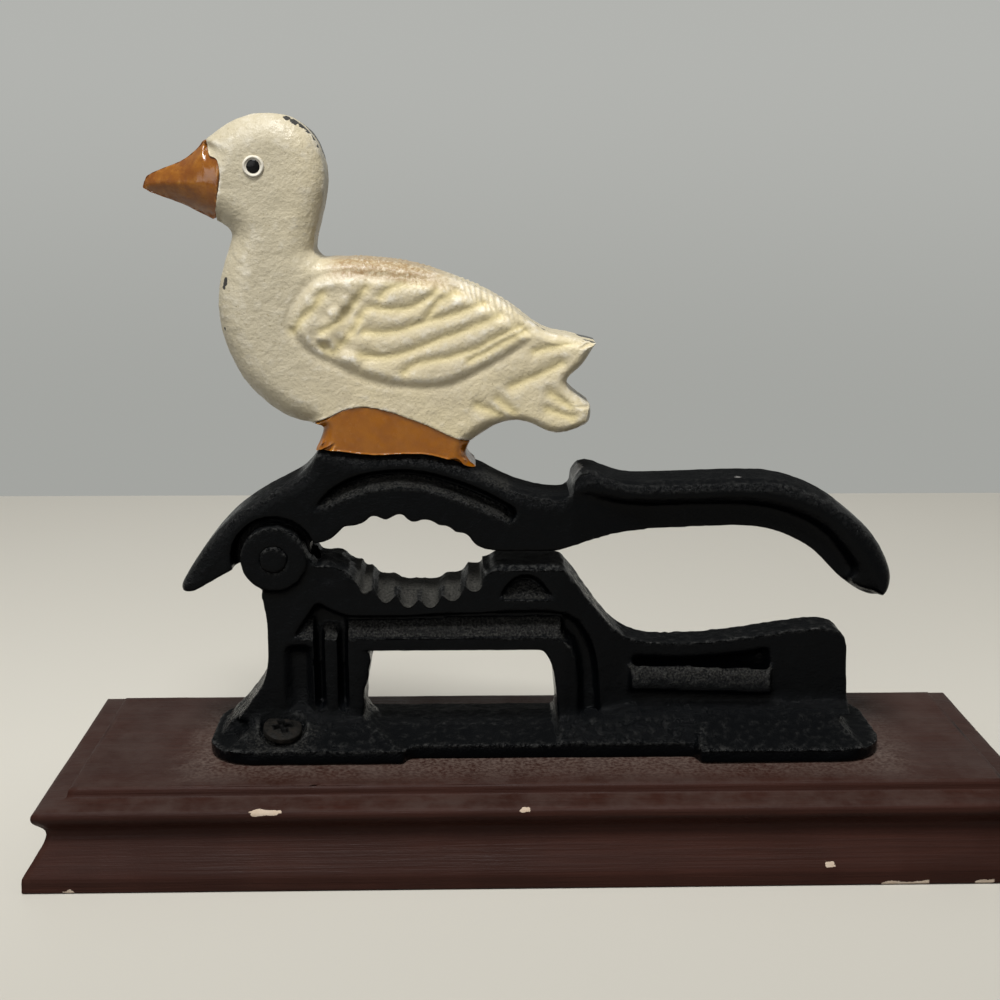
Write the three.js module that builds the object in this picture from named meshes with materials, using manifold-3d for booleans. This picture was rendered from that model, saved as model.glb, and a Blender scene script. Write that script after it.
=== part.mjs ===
// Lever nutcracker press: a cast-iron goose on a lever, hinged to a cast stand on a moulded plinth
// Millimetres; +X runs along the plinth towards the handle, +Y to the rear, +Z up
// The origin is the middle of the plinth's underside
import * as THREE from 'three';
import { mergeVertices } from 'three/addons/utils/BufferGeometryUtils.js';
import Module from 'manifold-3d';

const wasm = await Module();
wasm.setup();

// Plinth
const plinthLength = 230;
const plinthDepth = 73;
const plinthHeight = 21;
const mouldingWidth = 8.8;

// Castings: the stand below and the lever with its goose above share one depth
const castingDepth = 16;
const webDepth = 8.8;
const pivotSetback = 61;
const jawReach = 67;
const restReach = 69;
const handleReach = 78;
const postRise = 39.9;
const leverRise = 25;

// Foot of the stand
const footCrown = 7.6;
const footEdge = 3.2;
const footOverhang = 16.6;
const footToe = 6.8;
const lobeHalf = 16.4;
const heelHalf = 17.2;
const waistHalf = 13.2;
const lobeLength = 46;
const rearLobeLength = 34.6;
const heelLength = 44;
const lobeCorner = 11;
const waistStep = 1.4;
const waistCrown = 5;

// Hinge
const pinRadius = 2.7;
const pinProud = 0.5;
const pinNoseShare = 0.8;
const bossRadius = 7.5;
const bossProud = 1.3;
const tongueDepth = 7;
const tongueRadius = 7.2;
const recessRadius = 9.8;
const toeReach = 7.5;
const toeDrop = 6;
const runningGap = 0.3;

// Edges and pockets
const crownWidth = 2.4;
const crownDrop = 3;
const rollDepth = 17;
const rollRound = 3.2;
const pocketDepth = 4.5;
const pocketDraft = 1.2;
const restPocketDepth = 2.7;
const restPocketDraft = 2.2;
const restSkirt = 2.4;
const grooveWidth = 2.4;
const grooveTaperWidth = 0.3;
const fluteCount = 6;
const flutePitch = 5.15;
const fluteRadius = 3;
const fluteDepth = 1;

// Goose
const gooseLength = 100;
const gooseHeight = 74;
const gooseChamfer = 3.2;
const billChamfer = 1.4;
const billTipDepth = 6;
const wingProud = 1.3;
const wingRound = 0.8;
const featherWidth = 1.5;
const featherDepth = 0.7;
const eyeRadius = 2.4;
const eyeProud = 0.6;

// Wood screws through the foot
const screwHeadRadius = 4.4;
const screwHeadHeight = 2.2;
const screwCrownShare = 0.72;
const screwRadius = 1.9;
const screwLength = 17;
const screwInset = 17.5;
const driveWidth = 0.9;
const driveReach = 2.5;
const driveDepth = 1.1;

// Gaps and cutting
const seam = 0.3;
const overrun = 4;
const mergeShare = 0.1;
const roundSides = 32;
const spanSteps = 3;
const insetPasses = 60;
const foldShare = 0.15;
const reachShare = 0.42;
const easeShare = 0.85;
const slopeShare = 0.6;

// Places worked out from the sizes above
const pivotX = -pivotSetback;
const footTop = plinthHeight + footCrown;
const pivotZ = footTop + postRise;
const castingHalf = castingDepth / 2;
const webHalf = webDepth / 2;
const tongueHalf = tongueDepth / 2;
const slotHalf = tongueHalf + runningGap;
const footLeft = -footOverhang;
const footRight = jawReach + restReach + footToe;
const upright = Math.PI / 2;

// Outlines: each row is x, height and a 1 where the outline has a corner
// Stand: x in shares of the jaw's reach from the pivot, and past 1, the anvil's end, of the rest's
// reach; height in shares of the post's rise
const postLeftShares = [
  [-0.152, 0, 1], [-0.096, 0.122], [-0.050, 0.250], [-0.033, 0.400], [-0.033, 0.612],
  [-0.049, 0.782, 1],
];
const jawTopShares = [
  [0.109, 0.955, 1], [0.196, 0.955, 1], [0.234, 0.932], [0.294, 0.865, 1], [0.354, 0.817],
  [0.440, 0.777], [0.510, 0.764], [0.585, 0.792], [0.672, 0.852], [0.716, 0.895, 1],
  [0.757, 0.925, 1], [1, 0.925, 1],
];
const slopeShares = [
  [1, 0.925, 1], [1.036, 0.848], [1.099, 0.695], [1.159, 0.566, 1],
];
const windowRightShares = [
  [0.925, 0.434, 1], [0.951, 0.371], [0.969, 0.261], [0.984, 0, 1],
];
const channelShares = [
  [0.054, 0.506, 1], [0.143, 0.739, 1], [0.218, 0.667], [0.325, 0.647], [0.707, 0.667],
  [0.940, 0.674], [1.033, 0.632], [1.091, 0.511], [1.124, 0.336], [1.142, -0.040, 1],
  [1.052, -0.040, 1], [1.047, 0.286], [1.023, 0.436], [0.978, 0.509], [0.910, 0.511, 1],
];
const halfMoonShares = [
  [0.776, 0.744, 1], [0.791, 0.817], [0.828, 0.877], [0.872, 0.895], [0.916, 0.862],
  [0.967, 0.744, 1],
];
const postRightShare = 0.294;
const anvilLeftShare = 0.716;
const windowTopShare = 0.434;
const grooveShares = [0.147, 0.228];
const grooveTopShare = 0.55;
const grooveBottomShare = 0.06;
const firstFluteShare = 0.304;

// Hand rest: x in shares of the rest's reach from the anvil's end
const restTopShares = [
  [0.159, 0.566, 1], [0.203, 0.502], [0.261, 0.461], [0.348, 0.439], [0.493, 0.446],
  [0.638, 0.476], [0.783, 0.514], [0.884, 0.531], [0.948, 0.514], [0.980, 0.451],
  [0.987, 0.336, 1], [1.003, 0, 1],
];
const restPocketShares = [
  [0.232, 0.185, 1], [0.232, 0.368, 1], [0.406, 0.356], [0.551, 0.371], [0.717, 0.406, 1],
  [0.725, 0.148, 1],
];

// Lever: heights in shares of the lever's rise above the pivot
const leverTopShares = [
  [1.0025, 0.568, 1], [0.970, 0.562], [0.910, 0.584], [0.836, 0.640], [0.761, 0.726],
  [0.696, 0.820], [0.597, 0.908], [0.507, 0.960], [0.343, 0.952], [0.224, 0.988],
  [0.155, 0.988, 1], [0.131, 0.872], [0.085, 0.756], [-0.012, 0.620], [-0.090, 0.492],
  [-0.157, 0.348], [-0.227, 0.136], [-0.297, -0.132], [-0.324, -0.264, 1],
];
const beakShares = [
  [-0.324, -0.264, 1], [-0.322, -0.300], [-0.298, -0.318], [-0.267, -0.298], [-0.182, -0.168],
  [-0.136, -0.100, 1],
];
const teethShares = [
  [0.121, 0.132, 1], [0.170, 0.150], [0.205, 0.200], [0.245, 0.304, 1], [0.281, 0.308],
  [0.315, 0.344], [0.339, 0.408, 1], [0.384, 0.356, 1], [0.410, 0.392], [0.437, 0.428, 1],
  [0.475, 0.336], [0.516, 0.364], [0.543, 0.344], [0.570, 0.300, 1], [0.597, 0.296],
  [0.621, 0.240, 1], [0.663, 0.220, 1], [0.690, 0.124], [0.731, 0.072, 1], [0.769, 0.064, 1],
  [0.978, 0.064, 1], [1.0025, 0.080, 1],
];
const crescentShares = [
  [0.125, 0.404, 1], [0.231, 0.536], [0.334, 0.636], [0.436, 0.664], [0.537, 0.628],
  [0.639, 0.536], [0.742, 0.412], [0.816, 0.320, 1], [0.833, 0.444], [0.775, 0.556],
  [0.687, 0.676], [0.552, 0.796], [0.433, 0.836], [0.299, 0.788], [0.194, 0.640],
];

// Handle: x in shares of the handle's reach from the anvil's end
const handleTopShares = [
  [0.006, 0.560, 1], [0.022, 0.600], [0.026, 0.704], [0.046, 0.788], [0.080, 0.804],
  [0.132, 0.748], [0.199, 0.700], [0.346, 0.704], [0.545, 0.724], [0.650, 0.696],
  [0.774, 0.556], [0.886, 0.300], [0.944, 0.088], [0.980, -0.140], [0.987, -0.270],
  [0.977, -0.360], [0.958, -0.420, 1],
];
const handleBottomShares = [
  [0.958, -0.420, 1], [0.938, -0.430], [0.915, -0.412], [0.872, -0.336], [0.821, -0.200],
  [0.756, 0.004], [0.691, 0.132], [0.615, 0.224], [0.522, 0.260], [0.415, 0.250],
  [0.205, 0.220], [0.103, 0.172], [0.006, 0.088, 1],
];
const rollUndersideShares = [
  [0.958, -0.420, 1], [0.930, -0.348], [0.885, -0.208], [0.833, 0.032], [0.769, 0.244],
  [0.679, 0.392], [0.583, 0.472], [0.462, 0.496], [0.231, 0.484], [0.115, 0.528],
  [0.022, 0.600, 1],
];
const webStartShare = 0.03;
const webThinShare = 0.26;
const restThinShare = 0.26;

// Goose: x in shares of its length from the pivot, height in shares of its height above the lever
const billTopShares = [
  [-0.262, 0.785, 1], [-0.252, 0.815], [-0.218, 0.836], [-0.173, 0.859], [-0.139, 0.891],
  [-0.123, 0.915, 1],
];
const headAndNeckShares = [
  [-0.123, 0.915, 1], [-0.071, 0.966], [-0.023, 0.991], [0.030, 0.997], [0.074, 0.978],
  [0.111, 0.934], [0.130, 0.872], [0.136, 0.804], [0.128, 0.736], [0.111, 0.647],
  [0.106, 0.600, 1],
];
const backShares = [
  [0.122, 0.577, 1], [0.240, 0.577], [0.340, 0.555], [0.466, 0.495], [0.543, 0.436],
  [0.616, 0.366], [0.675, 0.347], [0.734, 0.326, 1],
];
const tailShares = [
  [0.734, 0.326, 1], [0.704, 0.265], [0.674, 0.226], [0.670, 0.204], [0.684, 0.177],
  [0.723, 0.136, 1], [0.724, 0.104], [0.712, 0.077], [0.648, 0.051], [0.590, 0.081],
  [0.551, 0.092], [0.505, 0.074], [0.449, 0.024, 1],
];
const feetRightShares = [
  [0.449, 0.024, 1], [0.441, -0.010], [0.448, -0.036], [0.462, -0.057, 1],
];
const feetLeftShares = [
  [0.104, 0.005, 1], [0.116, 0.041], [0.120, 0.069], [0.108, 0.082, 1],
];
const breastShares = [
  [0.108, 0.082, 1], [0.047, 0.100], [-0.005, 0.145], [-0.058, 0.223], [-0.094, 0.335],
  [-0.106, 0.439], [-0.094, 0.539], [-0.072, 0.626], [-0.068, 0.650, 1],
];
const chinShares = [
  [-0.068, 0.650, 1], [-0.079, 0.672], [-0.114, 0.701], [-0.130, 0.712, 1],
];
const billUndersideShares = [
  [-0.114, 0.701, 1], [-0.176, 0.741], [-0.242, 0.772], [-0.262, 0.785, 1],
];
const faceBulgeShares = [
  [-0.130, 0.712, 1], [-0.160, 0.780], [-0.155, 0.850], [-0.123, 0.915, 1],
];
const billZoneShares = [
  [-0.126, 0.990, 1], [-0.114, 0.888], [-0.094, 0.869], [-0.088, 0.824], [-0.095, 0.764],
  [-0.112, 0.640, 1], [-0.500, 0.640, 1], [-0.500, 0.990, 1],
];
const billBackShares = [[-0.080, 0.930, 1], [-0.080, 0.690, 1]];
const feetZoneShares = [
  [0.060, 0.062, 1], [0.126, 0.096], [0.165, 0.123], [0.210, 0.134], [0.270, 0.120],
  [0.350, 0.080], [0.422, 0.036], [0.500, 0.005, 1], [0.500, -0.500, 1], [0.060, -0.500, 1],
];
const wingShares = [
  [0.060, 0.376, 1], [0.070, 0.461], [0.102, 0.504], [0.149, 0.532], [0.242, 0.528],
  [0.350, 0.507], [0.440, 0.465], [0.515, 0.407], [0.580, 0.358, 1], [0.516, 0.282],
  [0.431, 0.220], [0.367, 0.208], [0.256, 0.232], [0.148, 0.284],
];
const featherLineShares = [
  [[0.250, 0.432], [0.313, 0.445], [0.362, 0.470]],
  [[0.225, 0.376], [0.295, 0.376], [0.368, 0.395], [0.480, 0.442]],
  [[0.210, 0.292], [0.277, 0.292], [0.350, 0.326], [0.430, 0.358], [0.513, 0.409]],
  [[0.312, 0.259], [0.367, 0.280], [0.432, 0.292], [0.500, 0.343], [0.560, 0.376]],
  [[0.085, 0.330], [0.125, 0.400], [0.150, 0.450]],
  [[0.150, 0.310], [0.180, 0.390], [0.205, 0.470]],
];
const eyeShares = [-0.013, 0.846];

// Eye's section: radius and height in shares of its own, from the rim to the pupil
const eyeProfileShares = [[0, 0], [1, 0], [0.9, 1], [0.62, 1], [0.56, 0.5], [0, 0.9]];
const featherSteps = 4;

// Plinth moulding from the foot to the raised field: inset in shares of its width, then height
const mouldingShares = [
  [0, 0], [0, 0.170], [0.100, 0.240], [0.364, 0.405], [0.510, 0.505], [0.545, 0.570],
  [0.466, 0.655], [0.364, 0.715], [0.273, 0.775], [0.261, 0.815], [0.330, 0.860],
  [0.500, 0.885], [1, 0.905], [1, 1],
];

// Materials
const mahogany = { color: 0x3a1a12, roughness: 0.45, metalness: 0 };
const enamel = { color: 0x1c1f1f, roughness: 0.4, metalness: 0.1 };
const cream = { color: 0xd8cfb4, roughness: 0.5, metalness: 0 };
const billPaint = { color: 0xa8550c, roughness: 0.3, metalness: 0 };
const feetPaint = { color: 0xc67a10, roughness: 0.3, metalness: 0 };
const eyePaint = { color: 0xefe9d8, roughness: 0.3, metalness: 0 };
const steel = { color: 0x3d3c38, roughness: 0.5, metalness: 0.8 };

// Placing rows of shares in each casting's own frame
const fromStand = ([across, up]) => {
  const past = Math.max(across - 1, 0);
  return new THREE.Vector2((across - past) * jawReach + past * restReach, up * postRise);
};
const fromRest = ([across, up]) => new THREE.Vector2(jawReach + across * restReach, up * postRise);
const fromLever = ([across, up]) => new THREE.Vector2(across * jawReach, up * leverRise);
const fromHandle = ([across, up]) => new THREE.Vector2(jawReach + across * handleReach, up * leverRise);
const fromGoose = ([across, up]) => new THREE.Vector2(across * gooseLength, up * gooseHeight);

// Smooth line through a table's rows, broken at its corners
function line(table, place) {
  const points = [];
  let run = [];
  table.forEach((row, index) => {
    run.push(place(row));
    const ends = index === table.length - 1;
    if ((row[2] === 1 && run.length > 1) || ends) {
      const bends = run.length > 2;
      const stretch = bends ? new THREE.SplineCurve(run).getPoints(spanSteps * (run.length - 1)) : run;
      points.push(...(points.length ? stretch.slice(1) : stretch));
      run = [place(row)];
    }
  });
  return points;
}

// Closed line: a table whose last stretch runs back to its first row
const closed = (table, place) => ringOf(line([...table, [...table[0].slice(0, 2), 1]], place));

// Round stretch about a centre, in degrees, running from one angle to the other
function arc(radius, from, to, centre = new THREE.Vector2()) {
  const start = THREE.MathUtils.degToRad(from);
  const sweep = THREE.MathUtils.degToRad(to - from);
  const steps = Math.max(2, Math.ceil(roundSides * Math.abs(sweep) / (2 * Math.PI)));
  return Array.from({ length: steps + 1 }, (unused, index) => {
    const angle = start + sweep * index / steps;
    return new THREE.Vector2(centre.x + radius * Math.cos(angle), centre.y + radius * Math.sin(angle));
  });
}

// Height of an outline's upper edge above a given x
function heightAt(points, x) {
  let height = -Infinity;
  points.slice(1).forEach((end, index) => {
    const start = points[index];
    const [low, high] = start.x < end.x ? [start, end] : [end, start];
    if (low.x <= x && x <= high.x && high.x > low.x) {
      const share = (x - low.x) / (high.x - low.x);
      height = Math.max(height, low.y + share * (high.y - low.y));
    }
  });
  return height;
}

// One outline, counter-clockwise and without doubled points
function ringOf(...stretches) {
  const points = stretches.flat();
  const ring = points.filter((point, index) => {
    const next = points[(index + 1) % points.length];
    return point.distanceTo(next) > seam * mergeShare;
  });
  return THREE.ShapeUtils.isClockWise(ring) ? ring.reverse() : ring;
}

// Distance from a ring's point to the far side of the ring, straight inwards
function reachAcross(ring, index, inward) {
  const from = ring[index];
  let reach = Infinity;
  ring.forEach((start, other) => {
    const end = ring[(other + 1) % ring.length];
    if (start === from || end === from) return;
    const edge = end.clone().sub(start);
    const cross = inward.x * edge.y - inward.y * edge.x;
    if (cross === 0) return;
    const gap = start.clone().sub(from);
    const along = (gap.x * edge.y - gap.y * edge.x) / cross;
    const share = (gap.x * inward.y - gap.y * inward.x) / cross;
    if (along > 0 && share >= 0 && share <= 1) reach = Math.min(reach, along);
  });
  return reach;
}

// Pairs of a ring's edges that cross or turn back on their own outer edge
function faults(inner, outer) {
  const count = inner.length;
  const side = (a, b, c) => (b.x - a.x) * (c.y - a.y) - (b.y - a.y) * (c.x - a.x);
  const found = [];
  inner.forEach((start, index) => {
    const next = (index + 1) % count;
    const end = inner[next];
    const along = outer[next].clone().sub(outer[index]);
    if (along.dot(end.clone().sub(start)) < foldShare * along.lengthSq()) found.push([index, index]);
    for (let other = index + 2; other < count; other++) {
      if ((other + 1) % count === index) continue;
      const [from, to] = [inner[other], inner[(other + 1) % count]];
      if (Math.min(from.x, to.x) > Math.max(start.x, end.x)) continue;
      if (Math.max(from.x, to.x) < Math.min(start.x, end.x)) continue;
      const parted = side(start, end, from) * side(start, end, to) > 0;
      if (!parted && side(from, to, start) * side(from, to, end) <= 0) found.push([index, other]);
    }
  });
  return found;
}

// Inward steps for a chamfer of one width, less where the outline is narrow or tightly bent
function insetSteps(ring, width) {
  const count = ring.length;
  const inwards = ring.map((point, index) => {
    const along = ring[(index + 1) % count].clone().sub(ring[(index + count - 1) % count]).normalize();
    return new THREE.Vector2(-along.y, along.x);
  });
  const widths = inwards.map((inward, index) => {
    return Math.min(width, reachShare * reachAcross(ring, index, inward));
  });
  for (let pass = 0; pass < insetPasses; pass++) {
    for (let step = 0; step < 2 * count; step++) {
      const [here, next] = [step % count, (step + 1) % count];
      const climb = slopeShare * ring[here].distanceTo(ring[next]);
      widths[next] = Math.min(widths[next], widths[here] + climb);
      const [back, last] = [count - 1 - next, count - 1 - here];
      const fall = slopeShare * ring[back].distanceTo(ring[last]);
      widths[back] = Math.min(widths[back], widths[last] + fall);
    }
    const inner = ring.map((point, index) => point.clone().addScaledVector(inwards[index], widths[index]));
    const found = faults(inner, ring);
    if (!found.length) break;
    found.forEach(([first, second]) => {
      const span = second - first;
      const wraps = span > count / 2;
      const from = wraps ? second : first;
      const reach = wraps ? count - span : span;
      for (let step = 0; step <= reach + 1; step++) {
        if (reach > count / 4 && step > 1 && step < reach) continue;
        widths[(from + step) % count] *= easeShare;
      }
    });
  }
  return inwards.map((inward, index) => inward.multiplyScalar(widths[index]));
}

// Triangles over a ring, keeping every point of it: the ear with the shortest cut goes first
function cap(ring) {
  const turn = (a, b, c) => (b.x - a.x) * (c.y - a.y) - (b.y - a.y) * (c.x - a.x);
  const left = ring.map((point, index) => index);
  const faces = [];
  while (left.length > 3) {
    let best = -1;
    let shortest = Infinity;
    left.forEach((tip, place) => {
      const before = left[(place + left.length - 1) % left.length];
      const after = left[(place + 1) % left.length];
      const [a, b, c] = [ring[before], ring[tip], ring[after]];
      const cut = a.distanceTo(c);
      if (turn(a, b, c) <= 0 || cut >= shortest) return;
      const open = left.every((index) => {
        const point = ring[index];
        if (index === before || index === tip || index === after) return true;
        return turn(a, b, point) < 0 || turn(b, c, point) < 0 || turn(c, a, point) < 0;
      });
      if (open) [best, shortest] = [place, cut];
    });
    if (best < 0) throw new Error('this outline crosses itself');
    faces.push([
      left[(best + left.length - 1) % left.length], left[best], left[(best + 1) % left.length],
    ]);
    left.splice(best, 1);
  }
  faces.push([...left]);
  return faces;
}

// Closed skin through level rings with the same number of points, lowest first
function loft(sections) {
  const count = sections[0].ring.length;
  const positions = sections.flatMap(({ ring, level }) => ring.flatMap(({ x, y }) => [x, y, level]));
  const faces = [];
  for (let row = 0; row < sections.length - 1; row++) {
    for (let index = 0; index < count; index++) {
      const low = row * count + index;
      const next = row * count + (index + 1) % count;
      faces.push(low, next, next + count, low, next + count, low + count);
    }
  }
  const top = (sections.length - 1) * count;
  cap(sections[sections.length - 1].ring).forEach(([a, b, c]) => faces.push(top + a, top + b, top + c));
  cap(sections[0].ring).forEach(([a, b, c]) => faces.push(a, c, b));
  const geometry = new THREE.BufferGeometry();
  geometry.setAttribute('position', new THREE.Float32BufferAttribute(positions, 3));
  geometry.setIndex(faces);
  return geometry;
}

// Solid of a closed geometry
function solid(geometry) {
  geometry.deleteAttribute('normal');
  geometry.deleteAttribute('uv');
  const merged = mergeVertices(geometry);
  return new wasm.Manifold(new wasm.Mesh({
    numProp: 3,
    vertProperties: Float32Array.from(merged.attributes.position.array),
    triVerts: Uint32Array.from(merged.index.array),
  }));
}

// Slab of an outline in the XZ plane, centred on y = 0, its two face edges chamfered or rounded
function slab(ring, depth, edge = { width: 0, drop: 0, steps: 0 }) {
  const insets = edge.steps ? insetSteps(ring, edge.width) : [];
  const half = depth / 2;
  const front = [{ ring, level: half - edge.drop }];
  for (let step = 1; step <= edge.steps; step++) {
    const turn = upright * step / edge.steps;
    const share = 1 - Math.cos(turn);
    front.push({
      ring: ring.map((point, index) => point.clone().addScaledVector(insets[index], share)),
      level: half - edge.drop * (1 - Math.sin(turn)),
    });
  }
  const back = front.map((section) => ({ ring: section.ring, level: -section.level })).reverse();
  return solid(loft([...back, ...front]).rotateX(upright));
}

// Slab of an outline in plan, between two heights
function plate(ring, low, high) {
  return solid(loft([{ ring, level: low }, { ring, level: high }]));
}

// Rectangle in plan from one x to another, even about y = 0
function band(left, right, half) {
  const corners = [[left, -half], [right, -half], [right, half], [left, half]];
  return corners.map(([x, y]) => new THREE.Vector2(x, y));
}

// Roof between a low and a high rectangle in plan
function roof(low, high, from, to) {
  return solid(loft([{ ring: band(...low), level: from }, { ring: band(...high), level: to }]));
}

// Cylinder across the castings, at a point in the XZ plane
function cross(radius, length, at = new THREE.Vector2()) {
  const turned = new THREE.CylinderGeometry(radius, radius, length, roundSides);
  return solid(turned.translate(at.x, 0, at.y));
}

// Pocket cutters in both faces: full size at the face, drawn in at the floor
function pockets(ring, faceHalf, depth, draft) {
  const edge = { width: draft, drop: depth, steps: 1 };
  const cutter = slab(ring, 2 * depth + overrun, edge);
  const shift = faceHalf + overrun / 2;
  return cutter.translate([0, shift, 0]).add(cutter.translate([0, -shift, 0]));
}

// Block from one corner to the other
function block(low, high) {
  const size = high.map((value, index) => value - low[index]);
  const middle = high.map((value, index) => (value + low[index]) / 2);
  return solid(new THREE.BoxGeometry(...size).translate(...middle));
}

// Named mesh of a solid
function piece(name, body, look) {
  const { vertProperties, triVerts } = body.getMesh();
  const geometry = new THREE.BufferGeometry();
  geometry.setAttribute('position', new THREE.BufferAttribute(vertProperties, 3));
  geometry.setIndex(new THREE.BufferAttribute(triVerts, 1));
  geometry.computeVertexNormals();
  const mesh = new THREE.Mesh(geometry, new THREE.MeshStandardMaterial(look));
  mesh.name = name;
  return mesh;
}

// Screw's frame: its head lies on the foot's sloping roof, before or behind the stand
const roofClimb = footCrown - footEdge;

function screwFrame(x, side, half) {
  const run = half - castingHalf;
  const frame = new THREE.Matrix4().makeRotationX(upright + side * Math.atan2(roofClimb, run));
  frame.setPosition(x, -side * (castingHalf + run / 2), footEdge + roofClimb / 2);
  return frame;
}

function screwBody(radius, length, headRadius, headHeight, lift) {
  const profile = [
    [0, -length], [radius / 2, -length], [radius, radius - length], [radius, lift],
    [headRadius, lift], [headRadius, lift + headHeight / 2],
    [headRadius * screwCrownShare, lift + headHeight], [0, lift + headHeight],
  ];
  return new THREE.LatheGeometry(profile.map(([x, y]) => new THREE.Vector2(x, y)), roundSides);
}

const frontScrew = screwFrame(footLeft + screwInset, 1, lobeHalf);
const rearScrew = screwFrame(footRight - screwInset, -1, heelHalf);

function screw(frame) {
  const turned = solid(screwBody(screwRadius, screwLength, screwHeadRadius, screwHeadHeight, seam));
  const drive = [[driveReach, driveWidth], [driveWidth, driveReach]].map(([wide, deep]) => {
    const top = seam + screwHeadHeight;
    return block([-wide, top - driveDepth, -deep], [wide, top + overrun, deep]);
  });
  return turned.subtract(drive[0]).subtract(drive[1]).transform(frame.elements);
}

function screwHole(frame) {
  const hole = new THREE.CylinderGeometry(
    screwRadius + seam, screwRadius + seam, screwLength + 2 * overrun, roundSides,
  );
  hole.translate(0, (overrun * 2 - screwLength) / 2 - seam, 0);
  return solid(hole).transform(frame.elements);
}

// Ends of the window's sill
const postRight = postRightShare * jawReach;
const windowRightFoot = windowRightShares[windowRightShares.length - 1][0] * jawReach;

// Plinth
function makePlinth() {
  const sections = mouldingShares.map(([inset, up]) => {
    const shrink = inset * mouldingWidth;
    const [halfLength, halfDepth] = [plinthLength / 2 - shrink, plinthDepth / 2 - shrink];
    return { ring: band(-halfLength, halfLength, halfDepth), level: up * plinthHeight };
  });
  const holes = [frontScrew, rearScrew].map((frame) => {
    return screwHole(frame).translate([pivotX, 0, plinthHeight]);
  });
  return piece('plinth', solid(loft(sections)).subtract(holes[0]).subtract(holes[1]), mahogany);
}

// Foot: a lobe at each end, a narrower waist between, all under a low roof
function makeFoot() {
  const leftInner = footLeft + lobeLength;
  const rearInner = footLeft + rearLobeLength;
  const rightInner = footRight - heelLength;
  const corner = (x, half, from) => {
    const y = from < 180 ? half - lobeCorner : lobeCorner - half;
    return arc(lobeCorner, from, from + 90, new THREE.Vector2(x, y));
  };
  const outline = ringOf(
    [new THREE.Vector2(leftInner, -lobeHalf), new THREE.Vector2(leftInner + waistStep, -waistHalf)],
    [new THREE.Vector2(rightInner - waistStep, -waistHalf), new THREE.Vector2(rightInner, -heelHalf)],
    corner(footRight - lobeCorner, heelHalf, 270),
    corner(footRight - lobeCorner, heelHalf, 0),
    [new THREE.Vector2(rightInner, heelHalf), new THREE.Vector2(rightInner - waistStep, waistHalf)],
    [new THREE.Vector2(rearInner + waistStep, waistHalf), new THREE.Vector2(rearInner, lobeHalf)],
    corner(footLeft + lobeCorner, lobeHalf, 90),
    corner(footLeft + lobeCorner, lobeHalf, 180),
  );
  const end = lobeCorner / 2;
  const lobe = band(footLeft + end, leftInner, lobeHalf);
  lobe[2].x = rearInner;
  const leftRoof = solid(loft([
    { ring: lobe, level: footEdge },
    { ring: band(footLeft + 2 * end, postRight, castingHalf), level: footCrown },
  ]));
  const waistRoof = roof(
    [postRight, windowRightFoot, waistHalf], [postRight, windowRightFoot, webHalf],
    footEdge, waistCrown,
  );
  const restRoof = roof(
    [windowRightFoot, rightInner, waistHalf], [windowRightFoot, rightInner, castingHalf],
    footEdge, footCrown,
  );
  const rightRoof = roof(
    [rightInner, footRight - end, heelHalf], [rightInner, footRight - 2 * end, castingHalf],
    footEdge, footCrown,
  );
  const body = plate(outline, 0, footEdge).add(leftRoof).add(waistRoof).add(restRoof).add(rightRoof)
    .subtract(screwHole(frontScrew)).subtract(screwHole(rearScrew));
  return piece('stand_foot', body, enamel);
}

// Stand above its foot, in the frame of the foot's top under the pivot
const pivot = new THREE.Vector2(0, postRise);
const windowTop = windowTopShare * postRise;
const anvilLeft = anvilLeftShare * jawReach;
const restStart = fromStand(slopeShares[slopeShares.length - 1]).x;
const jawTop = line(jawTopShares, fromStand);
const jawBetween = (left, right) => jawTop.filter((point) => point.x >= left && point.x <= right);

// Plan of the stand and the lever: full depth at the jaws, thinner past them
function taper(start, thin, end, low, high) {
  const plan = [[-jawReach, castingHalf], [start, castingHalf], [thin, webHalf], [end, webHalf]];
  const upper = plan.map(([x, y]) => new THREE.Vector2(x, y));
  const lower = plan.map(([x, y]) => new THREE.Vector2(x, -y)).reverse();
  return plate(ringOf(upper, lower), low, high);
}

const restThin = jawReach + restThinShare * restReach;
const standTaper = taper(jawReach, restThin, jawReach + 2 * restReach, -overrun, postRise);

function channel() {
  return pockets(closed(channelShares, fromStand), castingHalf, pocketDepth, pocketDraft);
}

function flutes() {
  return Array.from({ length: fluteCount }, (unused, index) => {
    const x = firstFluteShare * jawReach + index * flutePitch;
    const centre = new THREE.Vector2(x, heightAt(jawTop, x) + fluteRadius - fluteDepth);
    return cross(fluteRadius, castingDepth + overrun, centre);
  }).reduce((all, flute) => all.add(flute));
}

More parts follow.
